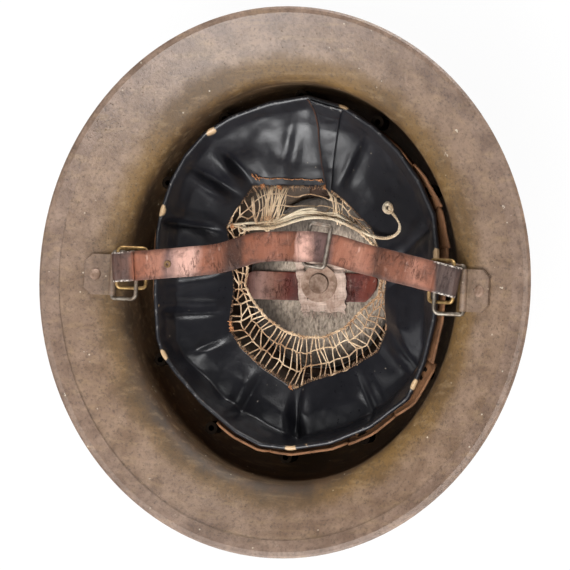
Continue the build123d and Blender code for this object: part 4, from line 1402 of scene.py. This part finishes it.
# %% Drawstring
cord_points = [
    (-42.5, 31.4, 48.1), (-34.5, 32.6, 48.1), (-25.0, 32.4, 48.1), (-15.5, 35.2, 48.1),
    (-5.5, 39.0, 48.1), (5.0, 40.4, 48.1), (15.5, 39.6, 48.1), (25.5, 35.6, 48.3),
    (35.0, 31.6, 49.4), (43.5, 29.0, 52.6), (51.0, 28.8, 57.0), (57.6, 31.6, 60.0),
    (59.6, 36.8, 61.4), (56.8, 41.4, 61.4), (53.0, 44.8, 61.2),
]
cord_mesh = curve_mesh("cord", [([at(*point) for point in cord_points], 1.0)], resolution_u=16)
cord_line = [vertex.co.copy() for vertex in cord_mesh.vertices]
cord_length = sum((end - start).length for start, end in zip(cord_line, cord_line[1:]))
print("cord length", round(cord_length, 4), "points", len(cord_line))
cord = strand_object(
    "drawstring_cord", wind(resampled(cord_line, 0.0006), 0.5 * mm, 0.0052), 0.62 * mm, cord_finish,
    stands_for=["drawstring"],
)
knot_loops = []
knot_middle = at(51.6, 47.0, 61.2)
for number in range(3):
    loop = []
    for step in range(11):
        turn, reach = 2 * pi * step / 9 + 2.1 * number, 3.1 - 0.4 * number
        height = 0.5 * number + 0.4 * sin(2 * turn)
        loop.append(knot_middle + around(reach, turn, height))
    knot_loops.append((loop, 1.0))
knot_end = ((1.6, -2.4, 0.2), (0.4, -0.8, 1.2), (1.4, 1.2, 1.4), (3.2, 2.6, 0.4))
knot_loops.append(([knot_middle + at(*spot) for spot in knot_end], 0.9))
knot = strand_object(
    "drawstring_knot_cord", knot_loops, 1.1 * mm, cord_finish, stands_for=["drawstring_knot"]
)

# %% [markdown]
# The floor is pale, and the camera sees it and the sky as plain white. The white comes from their own
# colour for camera rays and rays through glass, and the floor's for mirror rays too, never from more
# light.

# %% Floor


def seen_directly(nodes, *kinds):
    """1 for these kinds of ray and 0 for all others."""
    total = sum(nodes.node("ShaderNodeLightPath", output=f"Is {kind} Ray") for kind in kinds)
    return total.maths("MINIMUM", total, 1.0)


floor_size, floor_white = 3.0, 0.93
floor_finish = Finish("floor", Roughness=0.9, Base_Color=(0.86, 0.86, 0.86, 1))
direct = seen_directly(floor_finish, "Camera", "Glossy", "Transmission")
white = floor_finish.node("ShaderNodeEmission", {"Color": (1, 1, 1, 1), "Strength": 1.0})
lit = Wire(floor_finish, floor_finish.shader.outputs[0])
mixed = floor_finish.node("ShaderNodeMixShader", {0: direct * floor_white, 1: lit, 2: white})
floor_finish.join(floor_finish.tree.nodes["Material Output"].inputs["Surface"], mixed)

shape = bmesh.new()
bmesh.ops.create_grid(shape, x_segments=1, y_segments=1, size=floor_size)
floor_mesh = bpy.data.meshes.new("floor")
shape.to_mesh(floor_mesh)
shape.free()
floor_mesh.materials.append(floor_finish.material)
floor = add_object("floor", floor_mesh)

# %% [markdown]
# The sky gives soft light from all sides. It is brightest at the horizon, and more so on the right.

# %% Sky
world = bpy.data.worlds.new("studio")
bpy.context.scene.world = world
world.use_nodes = True
sky = Nodes(world.node_tree, "Generated")
background = sky.tree.nodes["Background"]
background.inputs["Color"].default_value = (1, 1, 1, 1)
to_the_right = sky.axis("X").ranged(-0.8, 0.6, 0.3, 1.2)
glow = to_the_right * sky.axis("Z").ranged(0.08, 0.45, 1.3, 0.08)
strength = seen_directly(sky, "Camera", "Transmission").ranged(0.0, 1.0, glow, 1.0)
sky.join(background.inputs["Strength"], strength)

# %% [markdown]
# A broad soft lamp stands on the back rim's side, a smaller one high up on the same side, a low one at the
# front and a faint one on the left.

# %% Lamps
lamp_aim = Vector((0, 0, 0.06))


def soft_lamp(name, place, size, power):
    """A round lamp at a place, turned to the helmet."""
    data = bpy.data.lights.new(name, "AREA")
    data.shape, data.size, data.energy = "DISK", size, power
    lamp = add_object(name, data)
    lamp.location = place
    lamp.rotation_euler = (lamp_aim - lamp.location).to_track_quat("-Z", "Y").to_euler()


soft_lamp("key", (-0.15, -1.0, 1.1), 1.2, 33)
soft_lamp("over", (0.1, -0.5, 2.1), 1.0, 12)
soft_lamp("front", (0.3, 1.2, 0.4), 0.8, 23)
soft_lamp("left", (-0.9, -0.1, 0.95), 0.8, 2)
bpy.context.scene.view_settings.view_transform = "Standard"
